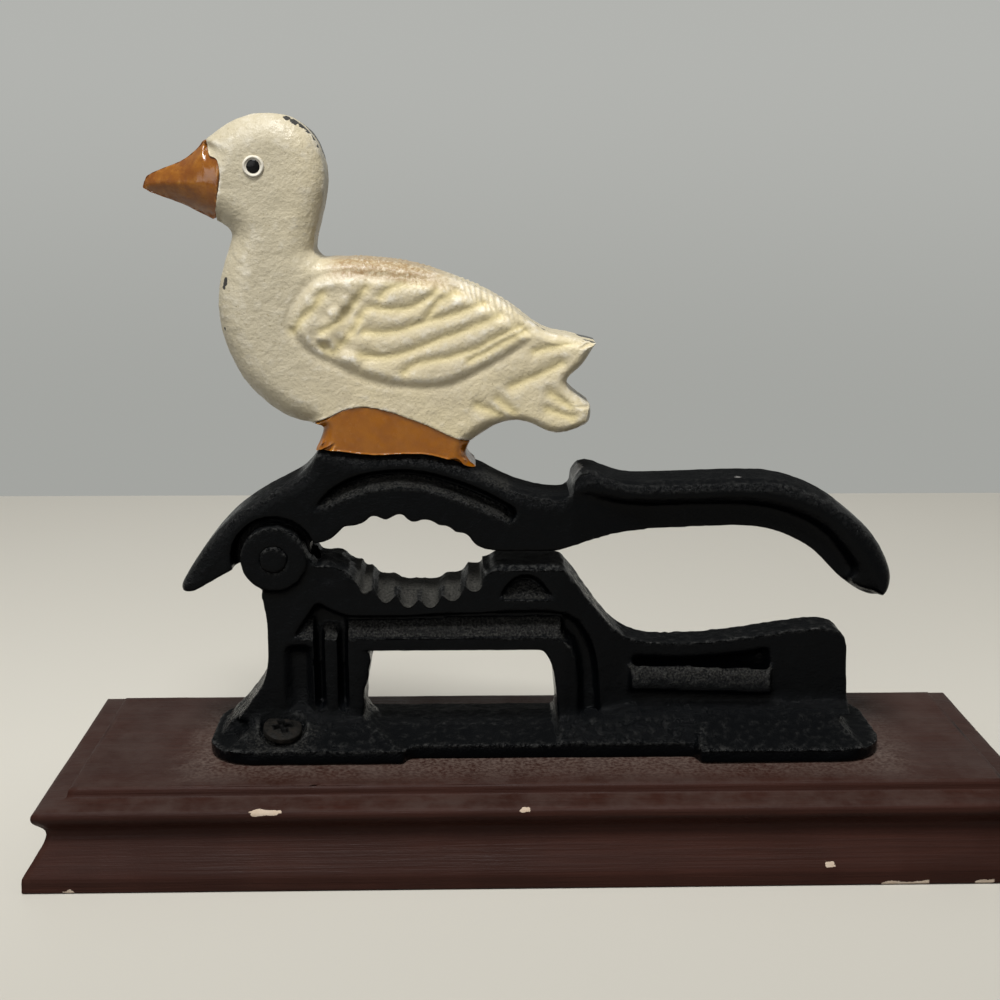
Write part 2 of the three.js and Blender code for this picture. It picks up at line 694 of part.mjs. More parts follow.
function makePost() {
  const bossLow = THREE.MathUtils.radToDeg(Math.atan2(
    postLeftShares[postLeftShares.length - 1][1] * postRise - postRise,
    postLeftShares[postLeftShares.length - 1][0] * jawReach,
  ));
  const outline = ringOf(
    line(postLeftShares, fromStand),
    arc(bossRadius, bossLow, -360 - toeDrop, pivot),
    jawBetween(-jawReach, postRight),
    [new THREE.Vector2(postRight, 0)],
  );
  const floor = postRise - toeDrop - runningGap;
  const swing = cross(Math.hypot(toeReach, toeDrop) + runningGap, 2 * slotHalf, pivot)
    .subtract(block([-jawReach, -castingDepth, 0], [jawReach, castingDepth, floor]));
  const slot = swing.add(cross(tongueRadius + runningGap, 2 * slotHalf, pivot));
  const grooves = grooveShares.map((share) => {
    const left = share * jawReach - grooveWidth / 2;
    const rows = [
      [left, grooveBottomShare * postRise], [left + grooveWidth, grooveBottomShare * postRise],
      [left + grooveWidth, grooveTopShare * postRise], [left, grooveTopShare * postRise],
    ].map(([x, y]) => new THREE.Vector2(x, y));
    return pockets(rows, castingHalf, pocketDepth, grooveTaperWidth);
  });
  const body = slab(outline, castingDepth)
    .add(cross(bossRadius, castingDepth + 2 * bossProud, pivot))
    .subtract(slot)
    .subtract(cross(pinRadius + seam, 2 * castingDepth, pivot))
    .subtract(channel()).subtract(grooves[0]).subtract(grooves[1]);
  return piece('stand_front_post', body, enamel);
}

function makeLowerJaw() {
  const outline = ringOf(
    jawBetween(postRight, anvilLeft),
    [new THREE.Vector2(anvilLeft, windowTop), new THREE.Vector2(postRight, windowTop)],
  );
  const body = slab(outline, castingDepth).subtract(flutes()).subtract(channel());
  return piece('stand_lower_jaw', body, enamel);
}

function makeAnvil() {
  const outline = ringOf(
    jawBetween(anvilLeft, jawReach), line(slopeShares, fromStand),
    [new THREE.Vector2(restStart, windowTop), new THREE.Vector2(anvilLeft, windowTop)],
  );
  const halfMoon = pockets(closed(halfMoonShares, fromStand), castingHalf, pocketDepth, pocketDraft);
  const body = slab(outline, castingDepth).intersect(standTaper).subtract(channel()).subtract(halfMoon);
  return piece('stand_anvil', body, enamel);
}

function makeRearPost() {
  const outline = ringOf(
    line(windowRightShares, fromStand),
    [new THREE.Vector2(restStart, 0), new THREE.Vector2(restStart, windowTop)],
  );
  const body = slab(outline, castingDepth).intersect(standTaper).subtract(channel());
  return piece('stand_rear_post', body, enamel);
}

function makeHandRest() {
  const top = line(restTopShares, fromRest);
  const end = top[top.length - 1];
  top[0].x = restStart;
  const outline = ringOf(top, [new THREE.Vector2(restStart, 0)]);
  const skirt = roof([restStart, end.x, castingHalf], [restStart, end.x, webHalf], 0, restSkirt);
  const outlineOfPocket = closed(restPocketShares, fromRest);
  const pocket = pockets(outlineOfPocket, webHalf, restPocketDepth, restPocketDraft);
  const body = slab(outline, castingDepth).intersect(standTaper).add(skirt).subtract(pocket);
  return piece('stand_hand_rest', body, enamel);
}

// Pin: a plain rivet through both ears and the tongue, its ends formed over
function makePin() {
  const half = castingHalf + bossProud + pinProud;
  const nose = pinRadius * pinNoseShare;
  const profile = [
    [0, -half], [nose, -half], [pinRadius, pinProud - half], [pinRadius, half - pinProud],
    [nose, half], [0, half],
  ];
  const turned = new THREE.LatheGeometry(profile.map(([x, y]) => new THREE.Vector2(x, y)), roundSides);
  return piece('pivot_pin', solid(turned), enamel);
}

// Lever, in the frame of the pivot
const leverTop = line(leverTopShares, fromLever);
const leverSeam = leverTopShares[0][0] * jawReach;
const crownStart = leverTopShares.find(([across, up, corner], row) => row > 0 && corner)[0] * jawReach;

function makeUpperJaw() {
  const beak = line(beakShares, fromLever);
  const beakRoot = beak[beak.length - 1];
  const tongueStart = THREE.MathUtils.radToDeg(Math.atan2(beakRoot.y, beakRoot.x)) + 360;
  const tongueEnd = 360 - THREE.MathUtils.radToDeg(Math.asin(toeDrop / tongueRadius));
  const outline = ringOf(
    leverTop, beak, arc(tongueRadius, tongueStart, tongueEnd),
    [new THREE.Vector2(toeReach, -toeDrop)], line(teethShares, fromLever),
  );
  const below = -2 * leverRise;
  const crown = ringOf(
    [new THREE.Vector2(leverSeam + overrun, leverTop[0].y)], leverTop,
    [leverTop[leverTop.length - 1].x, leverSeam + overrun].map((x) => new THREE.Vector2(x, below)),
  );
  const crescent = pockets(closed(crescentShares, fromLever), castingHalf, pocketDepth, pocketDraft);
  const ringDepth = castingHalf - tongueHalf + overrun;
  const ringShift = tongueHalf + ringDepth / 2;
  const recess = cross(recessRadius, ringDepth);
  const body = slab(outline, castingDepth)
    .intersect(slab(crown, castingDepth, { width: crownDrop, drop: crownWidth, steps: 2 }))
    .subtract(recess.translate([0, ringShift, 0])).subtract(recess.translate([0, -ringShift, 0]))
    .subtract(cross(pinRadius + seam, castingDepth)).subtract(crescent);
  return piece('lever_upper_jaw', body, enamel);
}

// Handle: a thin web under a wide rounded roll that starts at a raised knob
function makeHandle() {
  const top = line(handleTopShares, fromHandle);
  const web = ringOf(top, line(handleBottomShares, fromHandle));
  const roll = ringOf(top.slice(spanSteps), line(rollUndersideShares, fromHandle));
  const start = jawReach + webStartShare * handleReach;
  const thin = jawReach + webThinShare * handleReach;
  const plan = taper(start, thin, jawReach + 2 * handleReach, -2 * leverRise, 2 * leverRise);
  const body = slab(web, castingDepth).intersect(plan)
    .add(slab(roll, rollDepth, { width: rollRound, drop: rollRound, steps: 2 }));
  return piece('lever_handle', body, enamel);
}

// Goose, in the frame of the lever's top above the pivot
const wholeDepth = castingDepth + 2 * overrun;

function makeGoose() {
  const back = line([...billTopShares.slice(-1), ...headAndNeckShares.slice(1)], fromGoose);
  const rear = [...line(backShares, fromGoose), ...line(tailShares, fromGoose)];
  const left = line(feetLeftShares, fromGoose);
  const right = line(feetRightShares, fromGoose);
  const [heel, toe] = [left[0].x, right[right.length - 1].x];
  const seatAt = (x) => heightAt(leverTop, Math.max(x, crownStart)) - leverRise + seam;
  const above = (points) => points.filter((point) => point.y > seatAt(point.x));
  const under = leverTop.map((point) => point.x).filter((x) => x > heel && x < toe);
  const seat = [toe, ...under, heel].map((x) => new THREE.Vector2(x, seatAt(x)));
  const bodyRing = ringOf(
    back, rear, above(right), seat, above(left), line(breastShares, fromGoose),
    line(chinShares, fromGoose), line(faceBulgeShares, fromGoose),
  );
  const whole = slab(bodyRing, castingDepth, { width: gooseChamfer, drop: gooseChamfer, steps: 1 });
  const feetZone = slab(closed(feetZoneShares, fromGoose), wholeDepth);
  const billZone = slab(closed(billZoneShares, fromGoose), wholeDepth);
  const billRing = ringOf(
    line(billTopShares, fromGoose), line(billBackShares, fromGoose),
    line(billUndersideShares, fromGoose),
  );
  const tip = fromGoose(billTopShares[0]).x;
  const gape = fromGoose(billBackShares[0]).x;
  const wedge = plate([
    [tip - overrun, -billTipDepth / 2], [tip, -billTipDepth / 2], [gape, -castingHalf],
    [gape, castingHalf], [tip, billTipDepth / 2], [tip - overrun, billTipDepth / 2],
  ].map(([x, y]) => new THREE.Vector2(x, y)), 0, gooseHeight);
  const bill = slab(billRing, castingDepth, { width: billChamfer, drop: billChamfer, steps: 2 })
    .intersect(wedge).intersect(billZone);
  const body = whole.subtract(feetZone.translate([0, 0, seam])).subtract(billZone.translate([seam, 0, 0]));
  return [
    piece('goose_body', body, cream),
    piece('goose_bill', bill, billPaint),
    piece('goose_feet', whole.intersect(feetZone), feetPaint),
  ];
}

// Wing: a raised pad with long feather grooves
function makeWing(name, side) {
  const ring = closed(wingShares, fromGoose);
  const depth = 2 * (castingHalf + wingProud);
  const pad = slab(ring, depth, { width: wingRound, drop: wingRound, steps: 2 });
  const body = featherLineShares.reduce((carved, shares) => {
    const path = new THREE.CatmullRomCurve3(shares.map((row) => {
      const point = fromGoose(row);
      return new THREE.Vector3(point.x, side * (castingHalf + wingProud), point.y);
    }));
    const section = new THREE.Shape([
      [-featherDepth, 0], [0, -featherWidth / 2], [featherDepth, 0], [0, featherWidth / 2],
    ].map(([x, y]) => new THREE.Vector2(x, y)));
    const groove = new THREE.ExtrudeGeometry(section, { steps: featherSteps, extrudePath: path });
    return carved.subtract(solid(groove));
  }, pad);
  const [low, high] = side > 0 ? [castingHalf, depth] : [-depth, -castingHalf];
  const outside = block([-gooseLength, low, 0], [gooseLength, high, gooseHeight]);
  return piece(name, body.intersect(outside), cream);
}

// Eye: a raised ring round a low pupil
function makeEye(name, side) {
  const profile = eyeProfileShares.map(([across, up]) => {
    return new THREE.Vector2(across * eyeRadius, up * eyeProud);
  });
  const turned = new THREE.LatheGeometry(profile, roundSides);
  const at = fromGoose(eyeShares);
  turned.rotateX((1 - side) * upright).translate(at.x, side * castingHalf, at.y);
  return piece(name, solid(turned), eyePaint);
}

// Assembly
const press = new THREE.Group();

const stand = new THREE.Group();
stand.position.set(pivotX, 0, footTop);
stand.add(makePost(), makeLowerJaw(), makeAnvil(), makeRearPost(), makeHandRest());

const foot = new THREE.Group();
foot.position.set(pivotX, 0, plinthHeight);
foot.add(makeFoot(), piece('base_screw_front', screw(frontScrew), steel));
foot.add(piece('base_screw_rear', screw(rearScrew), steel));

const lever = new THREE.Group();
lever.position.set(pivotX, 0, pivotZ);
lever.add(makePin(), makeUpperJaw(), makeHandle());

const goose = new THREE.Group();
goose.position.set(0, 0, leverRise);
goose.add(...makeGoose(), makeWing('goose_wing_front', -1), makeWing('goose_wing_rear', 1));
goose.add(makeEye('goose_eye_front', -1), makeEye('goose_eye_rear', 1));
lever.add(goose);

press.add(makePlinth(), foot, stand, lever);

export default press;
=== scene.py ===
"""Lever nutcracker press: the painted castings, worn fixings and moulded plinth around the frame."""

import math
from itertools import product

import bmesh
import bpy
import numpy as np
from bpy.props import FloatProperty, FloatVectorProperty, IntProperty, PointerProperty
from mathutils import Matrix, Vector
from mathutils.kdtree import KDTree


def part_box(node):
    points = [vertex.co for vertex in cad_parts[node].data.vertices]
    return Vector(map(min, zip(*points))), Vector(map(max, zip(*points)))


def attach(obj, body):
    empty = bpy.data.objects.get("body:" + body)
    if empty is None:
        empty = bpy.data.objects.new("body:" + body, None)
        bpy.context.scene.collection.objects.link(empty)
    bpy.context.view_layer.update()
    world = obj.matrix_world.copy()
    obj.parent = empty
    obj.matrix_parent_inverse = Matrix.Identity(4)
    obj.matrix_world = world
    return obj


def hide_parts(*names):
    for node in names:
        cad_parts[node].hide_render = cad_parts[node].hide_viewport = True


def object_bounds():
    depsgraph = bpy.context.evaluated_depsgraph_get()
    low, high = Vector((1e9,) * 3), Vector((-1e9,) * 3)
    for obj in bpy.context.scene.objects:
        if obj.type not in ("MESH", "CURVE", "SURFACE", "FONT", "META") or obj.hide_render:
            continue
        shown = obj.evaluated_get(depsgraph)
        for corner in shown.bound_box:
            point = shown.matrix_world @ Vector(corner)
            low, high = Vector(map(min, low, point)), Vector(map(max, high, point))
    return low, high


bl_info = {
    "name": "Lever nutcracker press",
    "version": (1, 0, 0),
    "blender": (4, 5, 0),
    "location": "3D View > Sidebar > Nutcracker",
    "description": "Builds a cast goose nutcracker press on its moulded plinth",
    "category": "Add Mesh",
}

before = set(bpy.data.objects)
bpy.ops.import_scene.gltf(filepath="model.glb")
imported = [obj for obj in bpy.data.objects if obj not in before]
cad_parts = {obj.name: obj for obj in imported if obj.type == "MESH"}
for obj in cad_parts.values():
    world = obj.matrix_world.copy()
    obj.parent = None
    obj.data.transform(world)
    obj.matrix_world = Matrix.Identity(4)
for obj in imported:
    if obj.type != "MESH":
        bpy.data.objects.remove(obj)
cad_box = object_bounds()

MM = 0.001
MERGE = 2e-6

# Which frame nodes each casting stands for
STAND_NODES = (
    "stand_foot", "stand_front_post", "stand_lower_jaw", "stand_anvil", "stand_rear_post",
    "stand_hand_rest",
)
LEVER_NODES = ("lever_upper_jaw", "lever_handle")
SCREW_NODES = ("base_screw_front", "base_screw_rear")
EYE_NODES = ("goose_eye_front", "goose_eye_rear")

# Plinth's profile from its underside to its top: inset in shares of the moulding's width, then height
MOULDING_SHARES = (
    (0, 0.02), (0, 0.155), (0.05, 0.20), (0.16, 0.27), (0.33, 0.375), (0.46, 0.465), (0.53, 0.535),
    (0.55, 0.585), (0.52, 0.63), (0.44, 0.675), (0.35, 0.715), (0.285, 0.755), (0.262, 0.80),
    (0.285, 0.84), (0.35, 0.868), (0.47, 0.883), (0.70, 0.891), (0.955, 0.898), (1.0, 0.915),
    (1.025, 0.975), (1.09, 0.998),
)

# Lines on the goose's side, in millimetres across and up
WING_TOP = (
    (-55.7, 122), (-54.9, 125), (-53.1, 128.1), (-50.6, 130.9), (-47.5, 132.6), (-43.1, 133.1),
    (-37.2, 132.4), (-31.1, 132.2), (-25, 131.8), (-21.1, 130.3), (-17.6, 129), (-13.6, 127),
    (-9.9, 124.8), (-6.5, 122.6), (-2.5, 119.3),
)
WING_BOTTOM = (
    (-5.6, 117.1), (-8.7, 115.1), (-12.3, 113.1), (-15.9, 111.3), (-19, 109.7), (-22.5, 108.8),
    (-25.9, 108.6), (-30.3, 108.8), (-34.8, 109.5), (-39.2, 110.8), (-42.9, 112.4), (-46.4, 114),
    (-49.5, 115.5), (-52.1, 117.3), (-54.2, 119.5),
)
FEATHERS = (
    ((-36, 125.7), (-32.3, 125.5), (-29, 125.9), (-26.8, 127), (-24.6, 128.3), (-23.3, 129.6)),
    ((-35.3, 128.5), (-33.8, 130.1), (-30.7, 130.9), (-27.2, 131.4), (-25.5, 131.1)),
    ((-39.2, 120.6), (-35.7, 120.4), (-32.4, 120.8), (-29.5, 121.5), (-26.9, 122.4), (-24.2, 123.3),
     (-21.3, 123.9), (-18, 125), (-14.9, 126.1), (-12.7, 127)),
    ((-25.3, 123.5), (-24.2, 125.5), (-22.9, 127.4), (-20.6, 128.5), (-18.7, 129.2)),
    ((-40, 115.5), (-36.9, 115.1), (-33.6, 115.1), (-30.2, 116), (-27.4, 117.1), (-24.7, 118.2),
     (-21.8, 119.3), (-18, 120.6), (-14.7, 121.9), (-11.4, 123.3), (-9.2, 124.1)),
    ((-30.5, 111.7), (-28.7, 113.3), (-25.2, 114.2), (-21.4, 114.6), (-18.1, 115.7),
     (-14.7, 116.6), (-11.4, 118.6), (-8.1, 120.4), (-4.3, 121.7)),
    ((-15.8, 114.4), (-12.5, 116), (-9.2, 117.7), (-6.1, 119.5), (-3.4, 120.8)),
)
COVERTS = (
    ((-54.8, 120.9), (-53.2, 123.1), (-51.2, 125.2), (-49.4, 127), (-48.2, 129)),
    ((-48.5, 120.8), (-45.8, 122.2), (-43.5, 124.1), (-41.7, 126.6), (-40.4, 128.5), (-38.6, 130.3)),
    ((-45, 117.3), (-43, 119.3), (-41.2, 121.5), (-40, 123.7), (-38.7, 125.7), (-36, 126.1)),
    ((-48.5, 117.5), (-46.8, 116), (-45.3, 116.6), (-44.6, 118.2)),
)
TAIL_FEATHERS = (
    ((-6.5, 108.3), (-2.9, 109.9), (0.9, 111.5), (4.6, 113.5)),
    ((-14.1, 104), (-11.8, 103.1), (-9.1, 101.8)),
    ((-9.6, 105.4), (-7.3, 103.6), (-6, 102.4)),
    ((-1.4, 116.2), (2.4, 117.1), (5.9, 117.9), (9, 119.3)),
    ((1.6, 103.1), (4.3, 102.2), (7.3, 101.3)),
    ((2.3, 106.7), (4.3, 105.4), (6.6, 103.8)),
)
BACK_LINE = ((-47.5, 135), (-36, 135), (-20.3, 132.1), (-8, 126.2), (0.4, 119.6))

# Places where the paint has come off, in millimetres, with the reach of each
PLINTH_CHIPS = (
    (-64.0, -34.2, 18.2, 0.4), (-62.6, -34.2, 18.2, 0.5), (-61.1, -34.2, 18.2, 0.45),
    (-59.6, -34.2, 18.3, 0.4), (-4.7, -34.2, 18.6, 0.35), (64, -36.5, 5.4, 0.25),
    (-105, -36.5, 0.5, 0.3), (76.5, -36.5, 0.4, 0.35), (79, -36.5, 0.4, 0.3),
    (81.5, -36.5, 0.4, 0.4), (84, -36.5, 0.4, 0.3), (86.5, -36.5, 0.4, 0.3), (98, -36.5, 0.5, 0.4),
    (101, -36.5, 0.5, 0.35), (-114, 20, 0.6, 0.5), (40, 34.2, 18.3, 0.6), (-88, 34.2, 18.4, 0.5),
    (113, 8, 18.2, 0.5),
)
GOOSE_CHIPS = (
    (-55.2, -4.6, 165.9, 0.6), (-53.7, -4.6, 165.2, 0.8), (-52.0, -4.6, 164.5, 0.8),
    (-50.6, -4.6, 163.6, 0.8), (-49.4, -4.6, 162.2, 0.7), (-48.6, -4.6, 160.4, 0.5),
    (-69.2, -5.5, 131.6, 0.45), (-69.5, -5.5, 130.9, 0.5), (-69.9, -5.5, 130.1, 0.4),
    (-70.3, -5.5, 121, 0.4), (10.3, -4, 118.5, 0.7), (11.4, -4, 117.2, 0.7),
    (-1.0, -4, 121.4, 0.5), (0.6, -4, 120.5, 0.5), (-46.6, 5, 166.6, 2.2), (-43.8, 6, 163.6, 1.8),
    (-66.5, 5, 117, 1.2), (11.9, 3, 121.3, 1.2), (10.5, 0, 106.2, 1.0),
)
LEVER_CHIPS = ((4.7, 0, 89.2, 1.7), (7.5, 3, 88.2, 1.1), (84, 0, 61.5, 1.0), (46, -4, 86.6, 0.8))

# Top of the lower jaw, and the middles of its flutes, in millimetres
JAW_TOP = (
    (-53.7, 66.7), (-47.9, 66.7), (-45.3, 65.8), (-41.3, 63.1), (-37.3, 61.2), (-31.5, 59.6),
    (-26.8, 59.1), (-21.8, 60.2), (-16, 62.6), (-13, 64.3),
)
FLUTES = (-40.6, -35.5, -30.3, -25.2, -20.0, -14.9)

# Where the bill meets the head, as up and across; the bill's half depth by its place across; where
# the feet meet the body, as across and up
BILL_BACK = ((141, -72.2), (150, -70.5), (154.5, -69.8), (157.8, -70.4), (159.2, -72.4), (166.8, -73.6))
BILL_HALF = ((-88, 2.6), (-85, 3.6), (-80, 5.3), (-75, 6.9), (-70, 8))
FEET_TOP = (
    (-55, 98.1), (-48.4, 100.6), (-44.5, 102.6), (-40, 103.4), (-34, 102.4), (-26, 99.4),
    (-18.8, 96.2), (-11, 93.9),
)

# Sloping ledges along the lower edges of the pockets: a line across and up, then a section whose
# points are the distance from the middle plane and the height over the line
STAND_LEDGES = (
    (((-57.0, 48.4), (-52.3, 50.4)), ((3.0, -2), (7.5, -2), (7.5, 0.1), (6.2, 2.0), (3.0, 3.4))),
    (((-50.2, 48.6), (-47.8, 48.6)), ((3.0, -0.5), (7.0, -0.5), (7.0, 0.1), (3.0, 3.4))),
    (((-44.8, 48.6), (5.8, 48.6)), ((3.0, -0.5), (7.5, -0.5), (7.4, 0.6), (6.4, 2.8), (3.0, 5.2))),
    (((-7.6, 58.2), (3.4, 58.2)), ((3.2, -0.5), (7.2, -0.5), (7.2, 0.1), (3.2, 3.9))),
    (((22.0, 35.9), (56.0, 34.6)), ((4.6, -0.6), (7.6, -0.6), (7.4, 0.8), (6.9, 2.6), (6.2, 4.4),
      (4.6, 5.8))),
    (((-54.6, 64.0), (-51.7, 64.0)), ((3.6, -2), (7.7, -2), (7.7, 4.4), (3.6, 4.7))),
)

# Regions of the castings: from and to across, then from and to up
POST_LUMPS = (-52, -42.5, 62.5, 69)
WINDOW_EDGE = (-42.4, -40, 31, 46)
POST_PANEL = (-58.5, -53.5, 30.5, 46.5)
JAW_REAR = (-43.5, -13, 57, 68)
LEVER_POCKET = (-53, -6.5, 76, 88.4)
# Ledges made light grey with dust and painted sparkle
LEDGE_SPARKLE_AND_DUST = (
    (-58, -51, 46.5, 55), (-50.8, -46.8, 46.5, 55), (-46, 6.5, 47, 55), (-9, 5, 57, 63.5),
    (21, 57, 33.5, 43.5),
)

# Fillets through the castings: an outline across and up, then half of the depth
STAND_WEBS = (
    (((-61, 53), (-63.7, 49), (-63.6, 45), (-64, 41), (-64.9, 38), (-67.0, 34.1), (-69.4, 31.2),
      (-73.6, 27.3), (-75.6, 24.2), (-75.6, 23), (-61, 23)), 6),
)
LEVER_WEBS = (
    (((72.6, 61.9), (74, 60.9), (76.5, 59.8), (79.3, 59.7), (80.9, 61.9), (81.2, 64.8), (79.5, 68.5),
      (76.5, 68.5), (74.6, 65.2)), 7.3),
)
LEVER_LEDGES = (
    (((-51.5, 79.2), (-45.5, 81.9), (-38.6, 84.4), (-31.8, 85.1), (-25.0, 84.2), (-18.2, 81.9),
      (-11.3, 78.8), (-7.5, 77.0)), ((2.8, -0.9), (7.5, -0.9), (7.5, 0.3), (6.6, 1.4), (2.8, 2.7))),
)

# Shares of the eye's radius and of how far it stands out, from its rim to its middle
EYE_RING = (
    (0.97, 0.45), (0.9, 0.85), (0.82, 1), (0.74, 0.85), (0.68, 0.55), (0.62, 0.45), (0.58, 0.62),
    (0.5, 0.8), (0.3, 0.95), (0, 1),
)
# Shares of the pin's radius, and millimetres in from its end
PIN_NOSE = ((1, 0.9), (0.94, 0.42), (0.86, 0.16), (0.66, 0), (0.3, 0.06), (0, 0.1))
PIN_GROWTH = 1.2

# Screws: sizes, and how their heads sit in the foot
SCREW_SIZES = {
    "radius": 1.9 * MM, "length": 15 * MM, "head_radius": 4.5 * MM, "head_height": 1.95 * MM,
}
SCREW_TILT = math.radians(18)
SCREW_SPINS = (0.4, -0.3)
SCREW_SINK = 3.3
SEAT_DEPTH = 0.55
CROSS_LONG, CROSS_SHORT = 2.6, 0.85
SCREW_STEP = 0.16

# Relief of the castings, and how far in from their edges the rims are rounded, in millimetres
FLUTE_HALF, FLUTE_DEPTH, FLUTE_FILL = 2.5, 2.4, 0.7
ANVIL_CROWN, LEVER_CROWN = 0.85, 0.5
PANEL_RECESS = 2.1
HATCH_DEPTH, HATCH_PITCH = 0.14, 1.15
BODY_REACH, BREAST_GAIN, TAIL_LOSS = 4.6, 3.2, 1.2
BILL_REACH, FEET_REACH, FEET_HALF = 8.2, 4.2, 7.6
# Band beside the seams of the body with bill and feet in which no rim is sought
SEAM = 1.2
# Power of the rounded rim, where 2 is a circle
RIM_POWER = 2.1
# Weights and sizes of the bumps of sand casting, coarsest first
SAND_BUMPS = ((0.75, 5.5), (0.60, 2.1), (0.55, 1.05))
BEND_GAIN = 14

# How thick the dust lies; on the ledges painted sparkle goes with it
FLUTE_DUST, REAR_DUST, SPARKLE_AND_DUST_SHARE, SCREW_DUST = 0.62, 0.6, 0.36, 0.3

# Camera: the photograph's side and focal length in pixels, place in millimetres, yaw, pitch and roll
PHOTO_SIDE, PHOTO_FOCUS, SENSOR = 1000, 1400, 36
CAMERA_PLACE = (-17.656, -318.25, 157.935)
CAMERA_TURNS = (0.02769, 0.23932, -0.00304)

# Each lamp: its name, the setting of its power, its place, its target and its sides, in metres
LAMPS = (
    ("Ceiling light", "key_power", (-0.08, -0.34, 0.85), (0, 0, 0.05), (0.24, 0.24)),
    ("Window light", "fill_power", (-0.5, -0.9, 0.45), (0, 0, 0.08), (0.8, 0.6)),
)
FLOOR_REACH = 3.0


# Settings


def length(name, text, size):
    """Setting of a length, given in millimetres."""
    return FloatProperty(name=name, description=text, default=size * MM, unit="LENGTH", precision=6)


def tint(name, text, values):
    """Setting of a colour."""
    return FloatVectorProperty(
        name=name, description=text, subtype="COLOR", default=values, min=0, max=1,
    )


def amount(name, text, value, unit="NONE"):
    """Setting of a strength or a power."""
    return FloatProperty(name=name, description=text, default=value, unit=unit)


class PlinthSettings(bpy.types.PropertyGroup):
    """Sizes and colour of the moulded plinth."""

    moulding: length("Moulding width", "Inset of the raised field from the foot's edge", 8.8)
    columns: IntProperty(name="Columns", description="Steps along each side", default=110, min=8)
    unevenness: length("Unevenness", "How far the sanded faces wander", 0.09)
    paint: tint("Mahogany", "Colour of the brown paint", (0.027, 0.0098, 0.0068))
    bare: tint("Bare wood", "Colour under the chipped paint", (0.42, 0.30, 0.20))


class CastingSettings(bpy.types.PropertyGroup):
    """How finely the castings are skinned and how rough their surface is."""

    stand_step: length("Stand step", "Size of the stand's skin faces", 0.545)
    lever_step: length("Lever step", "Size of the lever's skin faces", 0.44)
    goose_step: length("Goose step", "Size of the goose's skin faces", 0.38)
    paint_step: length("Bill and feet step", "Size of the bill's and feet's skin faces", 0.28)
    swell: length("Swell", "Growth that joins the castings' pieces before they are skinned", 0.24)
    grain: length("Sand grain", "Depth of the sand-cast roughness", 0.07)
    wing_rise: length("Wing rise", "How far the wing stands out of the goose's side", 0.95)
    feather_depth: length("Feather depth", "Depth of the lines between the feathers", 0.56)


class PaintSettings(bpy.types.PropertyGroup):
    """Colours of the paints and of the worn steel."""

    enamel: tint("Enamel", "Colour of the black enamel", (0.0009, 0.0012, 0.0016))
    cream: tint("Cream", "Colour of the goose", (0.64, 0.553, 0.362))
    bill: tint("Bill", "Colour of the bill", (0.25, 0.083, 0.003))
    feet: tint("Feet", "Colour of the feet", (0.30, 0.098, 0.001))
    eye: tint("Eye", "Colour round the pupil", (0.74, 0.70, 0.60))
    steel: tint("Steel", "Colour of the worn screws", (0.008, 0.0075, 0.0065))


class StageSettings(bpy.types.PropertyGroup):
    """The floor, the wall behind it and the lamps."""

    floor: tint("Floor", "Colour of the floor", (0.635, 0.605, 0.53))
    floor_bounce: tint("Floor bounce", "Colour of the light the floor sends up", (0.08, 0.076, 0.07))
    wall: tint("Wall", "Colour behind the floor", (0.371, 0.377, 0.357))
    wall_top: tint("Wall top", "Colour further up the wall", (0.447, 0.453, 0.431))
    floor_end: length("Floor end", "Where the floor stops behind the press", 340)
    key_power: amount("Ceiling light", "Power of the light above", 7.8, "POWER")
    fill_power: amount("Window light", "Power of the light from the front", 3.4, "POWER")
    ambient: amount("Room light", "Strength of the light from straight above", 0.26)
    horizon: amount("Horizon light", "Strength of the light from level all round", 0.06)


# Numbers from a mesh


def rows_of(items, name, width, kind):
    """One property of all items, as rows."""
    flat = np.empty(len(items) * width, kind)
    items.foreach_get(name, flat)
    return flat.reshape(-1, width)


def vertices_of(mesh):
    """Vertex places as rows of three."""
    return rows_of(mesh.vertices, "co", 3, np.float64)


def normals_of(mesh):
    """Vertex normals as rows of three."""
    return rows_of(mesh.vertex_normals, "vector", 3, np.float32).astype(np.float64)


def edges_of(mesh):
    """Vertex numbers of each edge as rows of two."""
    return rows_of(mesh.edges, "vertices", 2, np.int32)


def move_vertices(mesh, places):
    """Puts the vertices at new places."""
    mesh.vertices.foreach_set("co", places.astype(np.float32).ravel())
    mesh.update()


def neighbour_mean(values, edges):
    """Mean over each vertex's neighbours of one value or of rows of values."""
    count = len(values)
    degree = np.maximum(np.bincount(edges.ravel(), minlength=count), 1)
    columns = values.reshape(count, -1)
    total = np.empty_like(columns)
    for column in range(columns.shape[1]):
        ahead = np.bincount(edges[:, 0], columns[edges[:, 1], column], count)
        behind = np.bincount(edges[:, 1], columns[edges[:, 0], column], count)
        total[:, column] = (ahead + behind) / degree
    return total.reshape(values.shape)


def smoothed(places, edges, rounds, shrink=0.5, grow=-0.53):
    """Places smoothed without losing volume."""
    for _ in range(rounds):
        for factor in (shrink, grow):
            places = places + factor * (neighbour_mean(places, edges) - places)
    return places


def lattice_noise(places, size, seed):
    """Smooth noise from -1 to 1 with bumps of one size."""
    scaled = places / size + seed * 17.31
    cell = np.floor(scaled).astype(np.int64)
    share = scaled - cell
    share = share * share * (3 - 2 * share)
    total = np.zeros(len(places))
    for corner in product((0, 1), repeat=3):
        key = (cell + corner).astype(np.uint32)
        mixed = key[:, 0] * np.uint32(73856093) ^ key[:, 1] * np.uint32(19349663)
        mixed ^= key[:, 2] * np.uint32(83492791) ^ np.uint32(seed * 7919 + 101)
        mixed = (mixed ^ (mixed >> np.uint32(13))) * np.uint32(1274126177)
        value = ((mixed ^ (mixed >> np.uint32(16))) & np.uint32(65535)) / 65535
        weight = np.prod(np.where(corner, share, 1 - share), axis=1)
        total += value * weight
    return 2 * total - 1


